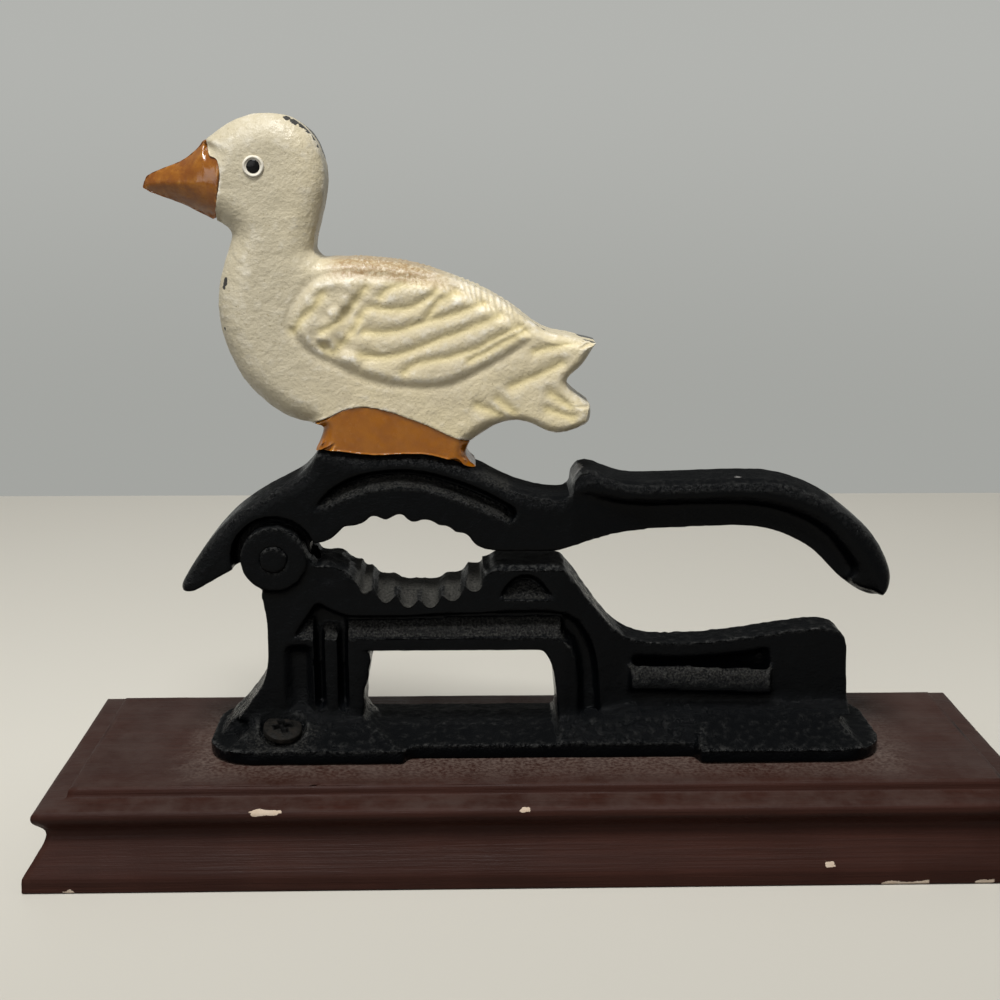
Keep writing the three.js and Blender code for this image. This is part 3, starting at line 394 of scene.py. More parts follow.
def line_distance(flat, line, closed=False):
    """Distance in a plane from each point to a line through the given points."""
    stops = np.array(line, float) * MM
    if closed:
        stops = np.vstack([stops, stops[:1]])
    best = np.full(len(flat), np.inf)
    for start, end in zip(stops[:-1], stops[1:]):
        along = end - start
        share = np.clip((flat - start) @ along / (along @ along), 0, 1)
        best = np.minimum(best, np.linalg.norm(flat - start - share[:, None] * along, axis=1))
    return best


def inside_outline(flat, line):
    """Which points in a plane lie within a closed line."""
    stops = np.array(line, float) * MM
    within = np.zeros(len(flat), bool)
    for start, end in zip(stops, np.roll(stops, -1, axis=0)):
        spans = (start[1] > flat[:, 1]) != (end[1] > flat[:, 1])
        rise = end[1] - start[1] if end[1] != start[1] else 1.0
        across = start[0] + (flat[:, 1] - start[1]) * (end[0] - start[0]) / rise
        within ^= spans & (flat[:, 0] < across)
    return within


def rounded(line, turns=2):
    """A line with its corners cut, so that it bends smoothly."""
    points = [Vector(point) for point in line]
    for _ in range(turns):
        cut = [points[0]]
        for start, end in zip(points[:-1], points[1:]):
            cut += [start.lerp(end, 0.25), start.lerp(end, 0.75)]
        points = cut + [points[-1]]
    return [tuple(point) for point in points]


def ramp(values, low, high):
    """0 below low, 1 above high and a smooth rise between them."""
    share = np.clip((values - low) / (high - low), 0, 1)
    return share * share * (3 - 2 * share)


def climb(values, low, high):
    """0 below one millimetre mark, 1 above another and a smooth rise between them."""
    return ramp(values, low * MM, high * MM)


def fall(values, low, high):
    """1 below one millimetre mark, 0 above another and a smooth fall between them."""
    return 1 - climb(values, low, high)


def band(values, low, high, ease):
    """1 between two millimetre marks, easing to 0 outside them."""
    return climb(values, low - ease, low + ease) * fall(values, high - ease, high + ease)


def region(across, up, edges, ease_across, ease_up):
    """1 in a region given by its edges, easing to 0 outside it."""
    left, right, low, high = edges
    return band(across, left, right, ease_across) * band(up, low, high, ease_up)


def curve_at(values, table):
    """Height of a table of millimetre rows at each value."""
    rows = np.array(table) * MM
    return np.interp(values, rows[:, 0], rows[:, 1])


def near_spots(places, spots):
    """1 at the middle of each spot, falling to 0 at its reach."""
    mask = np.zeros(len(places))
    for *middle, reach in spots:
        gap = np.linalg.norm(places - np.array(middle) * MM, axis=1)
        mask = np.maximum(mask, fall(gap - gap.min(), 0, 1.6 * reach))
    return mask


def write_attribute(mesh, name, values):
    """Stores one number a vertex for the materials."""
    layer = mesh.attributes.get(name) or mesh.attributes.new(name, "FLOAT", "POINT")
    layer.data.foreach_set("value", values.astype(np.float32))


# Objects from meshes


def link(name, data):
    """New object of a mesh, lamp or camera, in the scene."""
    thing = bpy.data.objects.new(name, data)
    bpy.context.scene.collection.objects.link(thing)
    return thing


def bake_modifiers(thing):
    """Turns what the modifiers show into a plain mesh."""
    bpy.context.view_layer.update()
    graph = bpy.context.evaluated_depsgraph_get()
    plain = bpy.data.meshes.new_from_object(thing.evaluated_get(graph))
    old = thing.data
    thing.modifiers.clear()
    thing.data = plain
    plain.name = thing.name
    if old.users == 0:
        bpy.data.meshes.remove(old)
    return plain


def mesh_from(name, work):
    """New mesh of a bmesh, which is freed."""
    mesh = bpy.data.meshes.new(name)
    work.to_mesh(mesh)
    work.free()
    return mesh


def add_skin(thing, step):
    """Adds one closed skin of even faces, as a modifier."""
    skin = thing.modifiers.new("Skin", "REMESH")
    skin.mode = "VOXEL"
    skin.voxel_size = step


def swollen_copy(names, swell):
    """Merged copies of frame nodes, each grown a little so that neighbours run into each other."""
    whole = bmesh.new()
    for name in names:
        part = bmesh.new()
        part.from_mesh(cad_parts[name].data)
        bmesh.ops.remove_doubles(part, verts=part.verts, dist=MERGE)
        part.normal_update()
        moves = [vert.normal * swell * min(vert.calc_shell_factor(), 2) for vert in part.verts]
        for vert, move in zip(part.verts, moves):
            vert.co += move
        carrier = mesh_from(name, part)
        whole.from_mesh(carrier)
        bpy.data.meshes.remove(carrier)
    return whole


def add_prism(work, rings):
    """Adds a closed prism between two rings of corners given in millimetres."""
    rings = [[work.verts.new(Vector(corner) * MM) for corner in ring] for ring in rings]
    faces = [work.faces.new(ring) for ring in rings]
    for index, corner in enumerate(rings[0]):
        after = (index + 1) % len(rings[0])
        faces.append(work.faces.new((corner, rings[0][after], rings[1][after], rings[1][index])))
    bmesh.ops.recalc_face_normals(work, faces=faces)


def add_ledge(work, line, section):
    """Adds a prism of a section along each stretch of a line, on both sides."""
    for start, end in zip(line[:-1], line[1:]):
        for side in (-1, 1):
            rings = [[(x, side * deep, up + rise) for deep, rise in section] for x, up in (start, end)]
            add_prism(work, rings)


def skinned(name, names, swell, step, ledges=(), webs=()):
    """One closed skin of even faces over copies of frame nodes, with ledges and fillets added."""
    source = swollen_copy(names, swell)
    for line, section in ledges:
        add_ledge(source, line, section)
    for outline, half in webs:
        add_prism(source, [[(x, deep, up) for x, up in outline] for deep in (-half, half)])
    thing = link(name, mesh_from(name, source))
    add_skin(thing, step)
    bake_modifiers(thing)
    return thing


def shade_smooth(mesh):
    """Smooth shading on every face."""
    mesh.polygons.foreach_set("use_smooth", np.ones(len(mesh.polygons), bool))
    mesh.update()


def keep_inside(places):
    """Places held within the frame's box."""
    return np.clip(places, np.array(cad_box[0]), np.array(cad_box[1]))


def worn_round(mesh, rounds, fill, rub):
    """Fills hollow corners and rubs sharp edges in rounds, by shares that may differ by vertex."""
    edges = edges_of(mesh)
    for _ in range(rounds):
        places, normals = vertices_of(mesh), normals_of(mesh)
        bend = ((neighbour_mean(places, edges) - places) * normals).sum(axis=1)
        lift = np.where(bend > 0, fill, rub) * bend
        move_vertices(mesh, places + normals * lift[:, None])


def pillowed(mesh, rounds, share):
    """Blends flat bevels into one round form without shrinking it, by a share that may differ."""
    places = vertices_of(mesh)
    soft = smoothed(places, edges_of(mesh), rounds, 0.5, -0.512)
    move_vertices(mesh, places + (soft - places) * np.broadcast_to(share, len(places))[:, None])


def cast_surface(thing, swell, grain, seed, rounds=6, coarse=0.0):
    """Smooths a skin, takes its swell off and gives it the roughness of sand casting."""
    mesh = thing.data
    edges = edges_of(mesh)
    places = smoothed(vertices_of(mesh), edges, rounds)
    move_vertices(mesh, places)
    normals = normals_of(mesh)
    rough = 1 + coarse * ramp(normals[:, 2], 0.1, 0.6)
    relief = 0
    for step, (weight, size) in enumerate(SAND_BUMPS):
        weight = weight * (rough if step else 1)
        relief = relief + weight * lattice_noise(places, size * MM, seed + step)
    places = places + normals * (grain * relief - swell)[:, None]
    move_vertices(mesh, places)
    return mesh


def store_bends(mesh, spread=3):
    """Stores where the surface is hollow and where it is a crest."""
    places, edges = vertices_of(mesh), edges_of(mesh)
    normals = normals_of(mesh)
    steps = np.linalg.norm(places[edges[:, 0]] - places[edges[:, 1]], axis=1).mean()
    bend = ((neighbour_mean(places, edges) - places) * normals).sum(axis=1) / steps
    for _ in range(spread):
        bend = 0.4 * bend + 0.6 * neighbour_mean(bend, edges)
    write_attribute(mesh, "hollow", np.clip(bend * BEND_GAIN, 0, 1))
    write_attribute(mesh, "crest", np.clip(-bend * BEND_GAIN, 0, 1))


# Building node trees


def new_group(name, inputs, outputs):
    """Wiring of a new shader node group, with the sockets inside it that give and take its numbers."""
    tree = bpy.data.node_groups.new(name, "ShaderNodeTree")
    for label, default in inputs:
        socket = tree.interface.new_socket(name=label, in_out="INPUT", socket_type="NodeSocketFloat")
        socket.default_value = default
    for label in outputs:
        tree.interface.new_socket(name=label, in_out="OUTPUT", socket_type="NodeSocketFloat")
    given = tree.nodes.new("NodeGroupInput").outputs
    return Wiring(tree), given, tree.nodes.new("NodeGroupOutput").inputs


class Wiring:
    """Short ways to add nodes to one tree and to join their sockets."""

    def __init__(self, tree):
        self.tree = tree

    def put(self, value, socket):
        """Joins an output to a socket, or sets the socket to a plain value."""
        if isinstance(value, bpy.types.NodeSocket):
            self.tree.links.new(value, socket)
        elif value is not None:
            socket.default_value = value

    def fill(self, sockets, **inputs):
        """Puts values in sockets, which are named with underscores for spaces."""
        for key, value in inputs.items():
            self.put(value, sockets[key.replace("_", " ")])

    def node(self, kind, settings=None, **inputs):
        """New node with its settings and inputs."""
        node = self.tree.nodes.new(kind)
        for key, value in (settings or {}).items():
            setattr(node, key, value)
        self.fill(node.inputs, **inputs)
        return node

    def result(self, kind, settings, values):
        """First output of a node whose inputs are filled in their order."""
        node = self.node(kind, settings)
        for socket, value in zip(node.inputs, values):
            self.put(value, socket)
        return node.outputs[0]

    def math(self, operation, *values, clamp=False):
        """Result of one operation on numbers."""
        return self.result("ShaderNodeMath", {"operation": operation, "use_clamp": clamp}, values)

    def plus(self, first, second, clamp=False):
        """Sum of two values."""
        return self.math("ADD", first, second, clamp=clamp)

    def minus(self, first, second):
        """First value less the second."""
        return self.math("SUBTRACT", first, second)

    def times(self, first, second, clamp=False):
        """Product of two values."""
        return self.math("MULTIPLY", first, second, clamp=clamp)

    def over(self, first, second):
        """First value divided by the second."""
        return self.math("DIVIDE", first, second)

    def spread(self, value, low, high, to_low=0.0, to_high=1.0):
        """Value carried smoothly from one range to another."""
        values = (value, low, high, to_low, to_high)
        return self.result("ShaderNodeMapRange", {"interpolation_type": "SMOOTHSTEP"}, values)

    def blend(self, share, first, second):
        """Colour between two colours, which are sockets or plain."""
        node = self.node("ShaderNodeMix", {"data_type": "RGBA"})
        self.put(share, node.inputs[0])
        for value, socket in ((first, node.inputs[6]), (second, node.inputs[7])):
            self.put(value if isinstance(value, bpy.types.NodeSocket) else (*value[:3], 1.0), socket)
        return node.outputs[2]

    def coats(self, base, *coats):
        """Colour with coats over it, each given as where it shows and its colour."""
        for share, coat in coats:
            base = self.blend(share, base, coat)
        return base

    def noise(self, size, detail=2.0, roughness=0.55, vector=None, distortion=0.0):
        """Noise on the object's own coordinates, with bumps of a size in metres."""
        if vector is None:
            vector = self.node("ShaderNodeTexCoord").outputs["Object"]
        scale = self.over(1.0, size) if isinstance(size, bpy.types.NodeSocket) else 1 / size
        return self.node(
            "ShaderNodeTexNoise", {"noise_dimensions": "3D"}, Vector=vector, Scale=scale,
            Detail=detail, Roughness=roughness, Distortion=distortion,
        ).outputs[0]

    def patches(self, size, detail, low, high, to_low=0.0, to_high=1.0, roughness=0.55):
        """Noise with its middle range carried to another range."""
        return self.spread(self.noise(size, detail, roughness), low, high, to_low, to_high)

    def along(self, output, axis):
        """One axis of an output of the texture coordinates."""
        vector = self.node("ShaderNodeTexCoord").outputs[output]
        return self.node("ShaderNodeSeparateXYZ", Vector=vector).outputs[axis]

    def attribute(self, name):
        """One number a vertex stored on the mesh."""
        return self.node("ShaderNodeAttribute", {"attribute_name": name}).outputs["Fac"]

    def group(self, name, **inputs):
        """Outputs of a shared node group with its inputs filled."""
        return self.node("ShaderNodeGroup", {"node_tree": shared_group(name)}, **inputs).outputs

    def bump(self, height, depth, before=None):
        """Normal raised by a height map over a depth in metres."""
        return self.node("ShaderNodeBump", Distance=depth, Height=height, Normal=before).outputs[0]


def cast_grain_group():
    """Fine sand grain and broader pits of a painted casting, as one height."""
    wiring, given, result = new_group(
        "Cast grain", (("Grain size", 0.5 * MM), ("Pit size", 1.6 * MM), ("Pit depth", 0.5)),
        ("Height",),
    )
    fine = wiring.noise(given["Grain size"], detail=4.0, roughness=0.6)
    coarse = wiring.noise(given["Pit size"], roughness=0.5)
    wiring.fill(result, Height=wiring.plus(fine, wiring.times(coarse, given["Pit depth"])))
    return wiring.tree


def settled_dust_group():
    """Grey dust that lies on what faces up and in the hollows."""
    wiring, given, result = new_group(
        "Settled dust", (("Amount", 1.0), ("Hollow share", 0.5), ("Patch size", 4 * MM)), ("Mask",),
    )
    lying = wiring.spread(wiring.along("Normal", "Z"), 0.5, 1.0)
    broken = wiring.patches(given["Patch size"], 4.0, 0.30, 0.72, roughness=0.7)
    sunk = wiring.times(wiring.attribute("hollow"), given["Hollow share"])
    mask = wiring.times(wiring.plus(lying, sunk), broken)
    wiring.fill(result, Mask=wiring.times(mask, given["Amount"], clamp=True))
    return wiring.tree


def edge_wear_group():
    """Rubbed crests and chipped spots with ragged edges."""
    wiring, given, result = new_group(
        "Edge wear", (("Rub", 0.5), ("Rub size", 2.5 * MM), ("Chip size", 0.7 * MM)),
        ("Rubbed", "Chipped"),
    )
    patchy = wiring.patches(given["Rub size"], 4.0, 0.42, 0.66, roughness=0.7)
    rubbed = wiring.times(wiring.attribute("crest"), patchy)
    ragged = wiring.times(wiring.minus(wiring.noise(given["Chip size"], detail=3.0), 0.5), 1.3)
    edge = wiring.plus(wiring.attribute("chipped"), ragged)
    wiring.fill(
        result, Rubbed=wiring.times(rubbed, given["Rub"], clamp=True),
        Chipped=wiring.spread(edge, 0.46, 0.54),
    )
    return wiring.tree


def wood_grain_group():
    """Long grain that shows through the paint, running along X."""
    wiring, given, result = new_group(
        "Wood grain", (("Length", 30 * MM), ("Width", 0.9 * MM)), ("Tone", "Height"),
    )
    place = wiring.node("ShaderNodeTexCoord").outputs["Object"]
    parts = wiring.node("ShaderNodeSeparateXYZ", Vector=place).outputs
    across, along = (wiring.over(1.0, given[name]) for name in ("Width", "Length"))
    stretched = wiring.node(
        "ShaderNodeCombineXYZ", X=wiring.times(parts["X"], along),
        Y=wiring.times(parts["Y"], across), Z=wiring.times(parts["Z"], across),
    ).outputs[0]
    fibres = wiring.noise(1.0, detail=5.0, roughness=0.62, vector=stretched, distortion=0.4)
    wiring.fill(result, Tone=wiring.spread(fibres, 0.32, 0.68), Height=fibres)
    return wiring.tree


SHARED = {}


def shared_group(name):
    """A shader node group, built when it is first asked for."""
    makers = {
        "cast grain": cast_grain_group, "settled dust": settled_dust_group,
        "edge wear": edge_wear_group, "wood grain": wood_grain_group,
    }
    if name not in SHARED:
        SHARED[name] = makers[name]()
    return SHARED[name]


def new_material(name):
    """Empty node material, its wiring, and its shader's inputs."""
    material = bpy.data.materials.new(name)
    material.use_nodes = True
    material.node_tree.nodes.clear()
    wiring = Wiring(material.node_tree)
    shader = wiring.node("ShaderNodeBsdfPrincipled")
    wiring.node("ShaderNodeOutputMaterial", Surface=shader.outputs[0])
    return material, wiring, shader.inputs


def enamel_material(paint):
    """Black satin enamel brushed over rough cast iron, with painted highlights on upward crests and
    painted sparkle where it faces up.
    """
    material, wiring, shader = new_material("Black enamel")
    grain = wiring.group("cast grain", Grain_size=0.5 * MM, Pit_size=1.3 * MM, Pit_depth=0.7)
    dust = wiring.group("settled dust", Amount=0.14, Hollow_share=0.0, Patch_size=4 * MM)["Mask"]
    wear = wiring.group("edge wear", Rub=1.0, Rub_size=0.9 * MM, Chip_size=0.8 * MM)
    upward = wiring.along("Normal", "Z")
    # Rubbed crests that face up, made light grey: partly wear, partly painted highlight standing in for
    # glints
    edges = wiring.times(wear["Rubbed"], wiring.spread(upward, 0.05, 0.45))
    # Light grey speckles where the surface faces up and on the ledges: partly settled dust, partly
    # painted sparkle
    fine = wiring.minus(wiring.noise(0.5 * MM, roughness=0.6), 0.5)
    given = wiring.plus(wiring.attribute("dusted"), wiring.times(dust, 0.8))
    lying = wiring.spread(wiring.plus(fine, given), 0.16, 1.0)
    satin = wiring.patches(6 * MM, 4.0, 0.3, 0.7, 0.08, 0.18, roughness=0.6)
    level = wiring.plus(satin, wiring.spread(upward, 0.75, 0.92, 0.0, 0.65))
    matt = wiring.plus(wiring.times(dust, 0.55), wiring.times(lying, 0.4))
    rough = wiring.times(grain["Height"], wiring.spread(upward, 0.0, 0.6, 0.3, 1.0))
    wiring.fill(
        shader,
        Base_Color=wiring.coats(
            paint.enamel, (wiring.noise(9 * MM, detail=3.0), (0.0016, 0.0020, 0.0025)),
            # Painted highlight on upward crests, then dust with painted sparkle on what faces up
            (edges, (0.042, 0.042, 0.040)), (lying, (0.062, 0.060, 0.053)),
            (wear["Chipped"], (0.17, 0.165, 0.155)),
        ),
        Roughness=wiring.plus(level, matt, clamp=True), Specular_IOR_Level=0.065,
        Normal=wiring.bump(rough, 0.5 * MM),
    )
    return material


def cream_material(paint):
    """Cream paint with a yellow wash in its hollows, fine dirt and chips."""
    material, wiring, shader = new_material("Cream paint")
    grain = wiring.group("cast grain", Grain_size=0.8 * MM, Pit_size=2 * MM, Pit_depth=0.6)
    wear = wiring.group("edge wear", Rub=0.8, Rub_size=3 * MM, Chip_size=0.6 * MM)
    dirt = wiring.patches(0.8 * MM, 5.0, 0.26, 0.6, roughness=0.75)
    specks = wiring.patches(0.75 * MM, 3.0, 0.28, 0.38, 1.0, 0.0, roughness=0.65)
    wiring.fill(
        shader,
        Base_Color=wiring.coats(
            paint.cream, (wiring.patches(12 * MM, 4.0, 0.35, 0.65), (0.59, 0.51, 0.345)),
            # Darker towards the head and breast
            (wiring.attribute("aged"), (0.512, 0.453, 0.32)), (wear["Rubbed"], (0.86, 0.82, 0.72)),
            (wiring.times(wiring.attribute("wash"), 0.6, clamp=True), (0.66, 0.55, 0.26)),
            (wiring.times(wiring.attribute("grime"), dirt, clamp=True), (0.33, 0.22, 0.105)),
            (wiring.times(specks, 0.7), (0.34, 0.28, 0.17)),
            (wear["Chipped"], (0.035, 0.033, 0.03)),
        ),
        Roughness=wiring.patches(5 * MM, 3.0, 0.3, 0.7, 0.24, 0.4), Specular_IOR_Level=0.4,
        Normal=wiring.bump(grain["Height"], 0.2 * MM),
    )
    return material


def orange_material(name, base, shade):
    """Thick orange paint that has run and dried glossy."""
    material, wiring, shader = new_material(name)
    grain = wiring.group("cast grain", Grain_size=2.2 * MM, Pit_size=5 * MM, Pit_depth=1.0)
    wear = wiring.group("edge wear", Rub=0.35, Rub_size=2 * MM, Chip_size=0.5 * MM)
    # Darker orange in the hollows: painted shade
    sunk = wiring.times(wiring.attribute("hollow"), 0.75, clamp=True)
    wiring.fill(
        shader,
        Base_Color=wiring.coats(
            shade, (wiring.patches(4 * MM, 4.0, 0.3, 0.7, roughness=0.65), base),
            (wiring.times(sunk, 0.5), (0.17, 0.050, 0.004)), (wear["Rubbed"], (0.62, 0.30, 0.055)),
        ),
        Roughness=wiring.patches(3 * MM, 3.0, 0.3, 0.7, 0.14, 0.3), Specular_IOR_Level=0.3,
        Coat_Weight=0.4, Coat_Roughness=0.08, Normal=wiring.bump(grain["Height"], 0.14 * MM),
    )
    return material


def eye_material(paint):
    """White ring, painted by hand, with a black pupil in its middle."""
    material, wiring, shader = new_material("Painted eye")
    pupil = wiring.spread(wiring.attribute("pupil"), 0.45, 0.55)
    wiring.fill(
        shader,
        Base_Color=wiring.coats(
            paint.eye, (wiring.patches(1.4 * MM, 3.0, 0.35, 0.7), (0.60, 0.55, 0.44)),
            (pupil, (0.004, 0.004, 0.004)),
        ),
        Specular_IOR_Level=0.15, Roughness=wiring.spread(pupil, 0, 1, 0.4, 0.2),
        Normal=wiring.bump(wiring.noise(0.6 * MM), 0.05 * MM),
    )
    return material


def steel_material(paint):
    """Dulled steel screw with brown rust and black paint left in its recess."""
    material, wiring, shader = new_material("Worn screw steel")
    grain = wiring.group("cast grain", Grain_size=0.4 * MM, Pit_size=0.9 * MM, Pit_depth=0.6)
    rust = wiring.patches(1.6 * MM, 5.0, 0.42, 0.62, roughness=0.7)
    sunk = wiring.times(wiring.attribute("hollow"), 0.9, clamp=True)
    wiring.fill(
        shader,
        Base_Color=wiring.coats(
            paint.steel, (rust, (0.012, 0.010, 0.008)), (sunk, (0.001, 0.001, 0.001)),
        ),
        Metallic=wiring.spread(rust, 0, 1, 0.2, 0.0), Specular_IOR_Level=0.1,
        Roughness=wiring.spread(rust, 0, 1, 0.42, 0.75), Normal=wiring.bump(grain["Height"], 0.2 * MM),
    )
    return material


def mahogany_material(settings):
    """Brown paint on grained wood, dusty on top and chipped at its edges."""
    material, wiring, shader = new_material("Mahogany paint")
    grain = wiring.group("wood grain", Length=38 * MM, Width=0.8 * MM)
    dust = wiring.group("settled dust", Amount=0.42, Hollow_share=0.3, Patch_size=9 * MM)["Mask"]
    wear = wiring.group("edge wear", Rub=0.12, Rub_size=4 * MM, Chip_size=0.9 * MM)
    sandy = wiring.patches(0.9 * MM, 4.0, 0.36, 0.64, roughness=0.7)
    bare = wiring.blend(wiring.noise(2 * MM), settings.bare, (0.55, 0.47, 0.38))
    rough = wiring.patches(14 * MM, 4.0, 0.3, 0.7, 0.36, 0.52)
    dull = wiring.plus(rough, wiring.times(dust, 0.35), clamp=True)
    pores = wiring.noise(0.7 * MM, detail=3.0, roughness=0.6)
    wiring.fill(
        shader,
        Base_Color=wiring.coats(
            settings.paint, (wiring.patches(30 * MM, 4.0, 0.35, 0.65), (0.036, 0.0132, 0.0092)),
            (wiring.times(grain["Tone"], 0.55), (0.022, 0.0088, 0.0064)),
            (wear["Rubbed"], (0.085, 0.042, 0.030)), (dust, (0.070, 0.050, 0.043)),
            (wiring.times(wiring.attribute("dusted"), sandy), (0.125, 0.092, 0.076)),
            (wear["Chipped"], bare),
        ),
        Roughness=wiring.plus(dull, wiring.times(wear["Chipped"], 0.3), clamp=True),
        Specular_IOR_Level=0.07,
        Normal=wiring.bump(pores, 0.05 * MM, wiring.bump(grain["Height"], 0.2 * MM)),
    )
    return material


# Geometry node trees


def new_geometry_tree(name, inputs):
    """Geometry node tree with a geometry in and out and named inputs."""
    tree = bpy.data.node_groups.new(name, "GeometryNodeTree")
    tree.interface.new_socket(name="Geometry", in_out="INPUT", socket_type="NodeSocketGeometry")
    for label, kind, default in inputs:
        socket = tree.interface.new_socket(name=label, in_out="INPUT", socket_type=kind)
        if default is not None:
            socket.default_value = default
    tree.interface.new_socket(name="Geometry", in_out="OUTPUT", socket_type="NodeSocketGeometry")
    given = tree.nodes.new("NodeGroupInput").outputs
    result = tree.nodes.new("NodeGroupOutput").inputs
    return tree, Wiring(tree), given, result


def finish_tree(wiring, geometry, material, result):
    """Realised instances with their material, at the tree's end."""
    real = wiring.node("GeometryNodeRealizeInstances", Geometry=geometry).outputs[0]
    dressed = wiring.node("GeometryNodeSetMaterial", Geometry=real, Material=material).outputs[0]
    wiring.put(dressed, result["Geometry"])


def run_tree(thing, tree, values):
    """Adds the tree as a modifier, sets its inputs by identifier and makes its result plain."""
    modifier = thing.modifiers.new(tree.name, "NODES")
    modifier.node_group = tree
    identifiers = {
        item.name: item.identifier for item in tree.interface.items_tree
        if item.item_type == "SOCKET" and item.in_out == "INPUT"
    }
    for name, value in values.items():
        modifier[identifiers[name]] = value
    return bake_modifiers(thing)


def moulded_plinth_tree(material):
    """Runs the profile in the incoming line round a rectangle, closed above and below."""
    tree, wiring, given, result = new_geometry_tree("Moulded plinth", (
        ("Length", "NodeSocketFloat", 0.23), ("Depth", "NodeSocketFloat", 0.073),
        ("Columns", "NodeSocketInt", 100),
    ))
    rows = wiring.node(
        "GeometryNodeAttributeDomainSize", {"component": "MESH"}, Geometry=given["Geometry"],
    ).outputs["Point Count"]
    columns = wiring.math("MULTIPLY_ADD", given["Columns"], 4.0, 1.0)
    grid = wiring.node("GeometryNodeMeshGrid", Vertices_X=columns, Vertices_Y=rows).outputs["Mesh"]
    index = wiring.node("GeometryNodeInputIndex").outputs[0]
    column = wiring.math("FLOOR", wiring.over(wiring.plus(index, 0.5), rows))
    row = wiring.minus(index, wiring.times(column, rows))
    turn = wiring.over(column, given["Columns"])
    place = wiring.node("GeometryNodeInputPosition").outputs[0]
    sample = wiring.node(
        "GeometryNodeSampleIndex", {"data_type": "FLOAT_VECTOR", "domain": "POINT"},
        Geometry=given["Geometry"], Index=row,
    )
    value_socket = next(s for s in sample.inputs if s.name == "Value" and s.enabled)
    wiring.put(place, value_socket)
    profile = next(s for s in sample.outputs if s.name == "Value" and s.enabled)
    parts = wiring.node("ShaderNodeSeparateXYZ", Vector=profile).outputs

    def side(middle, extent):
        """Place along one axis: still at the ends and running between them."""
        away = wiring.math("ABSOLUTE", wiring.minus(turn, middle))
        rise = wiring.times(wiring.minus(1.0, away), 2.0)
        share = wiring.math("MAXIMUM", wiring.math("MINIMUM", rise, 1.0), -1.0)
        half = wiring.minus(wiring.over(extent, 2.0), parts["X"])
        return wiring.times(share, half)

    spot = wiring.node(
        "ShaderNodeCombineXYZ", X=side(1.5, given["Length"]), Y=side(2.5, given["Depth"]), Z=parts["Z"],
    ).outputs[0]
    swept = wiring.node("GeometryNodeSetPosition", Geometry=grid, Position=spot).outputs[0]
    merged = wiring.node("GeometryNodeMergeByDistance", Geometry=swept, Distance=10 * MERGE).outputs[0]
    finish_tree(wiring, merged, material, result)
    return tree


def placed_pair_tree(name, material):
    """Puts the incoming piece at two places, each with its own turn."""
    labels = ("First place", "First turn", "Second place", "Second turn")
    tree, wiring, given, result = new_geometry_tree(
        name, [(label, "NodeSocketVector", None) for label in labels],
    )
    points = wiring.node("GeometryNodeMeshLine", Count=2).outputs[0]
    index = wiring.node("GeometryNodeInputIndex").outputs[0]

    def chosen(what):
        """The first value for the first point and the second for the other."""
        node = wiring.node("ShaderNodeMix", {"data_type": "VECTOR"})
        for number, value in ((0, index), (4, given[f"First {what}"]), (5, given[f"Second {what}"])):
            wiring.put(value, node.inputs[number])
        return node.outputs[1]

    spots = wiring.node("GeometryNodeSetPosition", Geometry=points, Position=chosen("place")).outputs[0]
    turn = wiring.node("FunctionNodeEulerToRotation", Euler=chosen("turn")).outputs[0]
    copies = wiring.node(
        "GeometryNodeInstanceOnPoints", Points=spots, Instance=given["Geometry"], Rotation=turn,
    ).outputs[0]
    finish_tree(wiring, copies, material, result)
    return tree


# Pieces


def profile_line(settings, height):
    """Plinth's rounded profile as a mesh line: x is the inset and z the height."""
    scale = Vector((settings.moulding, height))
    bends = [Vector(row) * scale for row in MOULDING_SHARES]
    smooth = [Vector(point) for point in rounded(bends)]
    low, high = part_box("plinth")
    middle = (high.y - low.y) / 2
    rim = smooth[-1].x
    bottom_rim = 0.35 * MM
    line = [Vector((middle, 0))]
    for share in (0.25, 0.5, 0.75, 0.95, 1):
        line.append(Vector((middle + (bottom_rim - middle) * share, 0)))
    line += smooth
    line += [Vector((rim + (middle - rim) * share, height)) for share in (0.04, 0.25, 0.5, 0.75, 1)]
    mesh = bpy.data.meshes.new("plinth profile")
    edges = [(start, start + 1) for start in range(len(line) - 1)]
    mesh.from_pydata([(point.x, 0, point.y) for point in line], edges, [])
    return mesh


def outward(mesh):
    """Turns the mesh's faces out if its volume is negative."""
    work = bmesh.new()
    work.from_mesh(mesh)
    if work.calc_volume(signed=True) < 0:
        bmesh.ops.reverse_faces(work, faces=work.faces)
    work.to_mesh(mesh)
    work.free()


class PRESS_OT_plinth(bpy.types.Operator):
    """Makes the moulded wooden plinth"""

    bl_idname = "press.make_plinth"
    bl_label = "Plinth"

    def execute(self, context):
        settings = context.scene.press_plinth
        low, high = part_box("plinth")
        plinth = link("moulded_plinth", profile_line(settings, high.z - low.z))
        material = mahogany_material(settings)
        run_tree(plinth, moulded_plinth_tree(material), {
            "Length": high.x - low.x, "Depth": high.y - low.y, "Columns": settings.columns,
        })
        mesh = plinth.data
        outward(mesh)
        places, normals = vertices_of(mesh), normals_of(mesh)
        wander = lattice_noise(places, 16 * MM, 3) + 0.5 * lattice_noise(places, 5 * MM, 4)
        standing = climb(places[:, 2], 0.4, 2)
        places = places + normals * (settings.unevenness * standing * (wander - 1.2))[:, None]
        places[:, 2] = np.clip(places[:, 2], low.z, high.z)
        move_vertices(mesh, keep_inside(places))
        store_bends(mesh, 1)
        write_attribute(mesh, "chipped", near_spots(places, PLINTH_CHIPS))
        foot_low, foot_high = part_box("stand_foot")
        out = np.maximum(np.array(foot_low) - places, places - np.array(foot_high))[:, :2]
        gap = np.hypot(*np.maximum(out, 0).T)
        top = ramp(places[:, 2], high.z - 0.6 * MM, high.z - 0.3 * MM)
        write_attribute(mesh, "dusted", 0.75 * top * fall(gap, 0.5, 6))
        shade_smooth(mesh)
        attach(plinth, "stand")
        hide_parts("plinth")
        return {"FINISHED"}


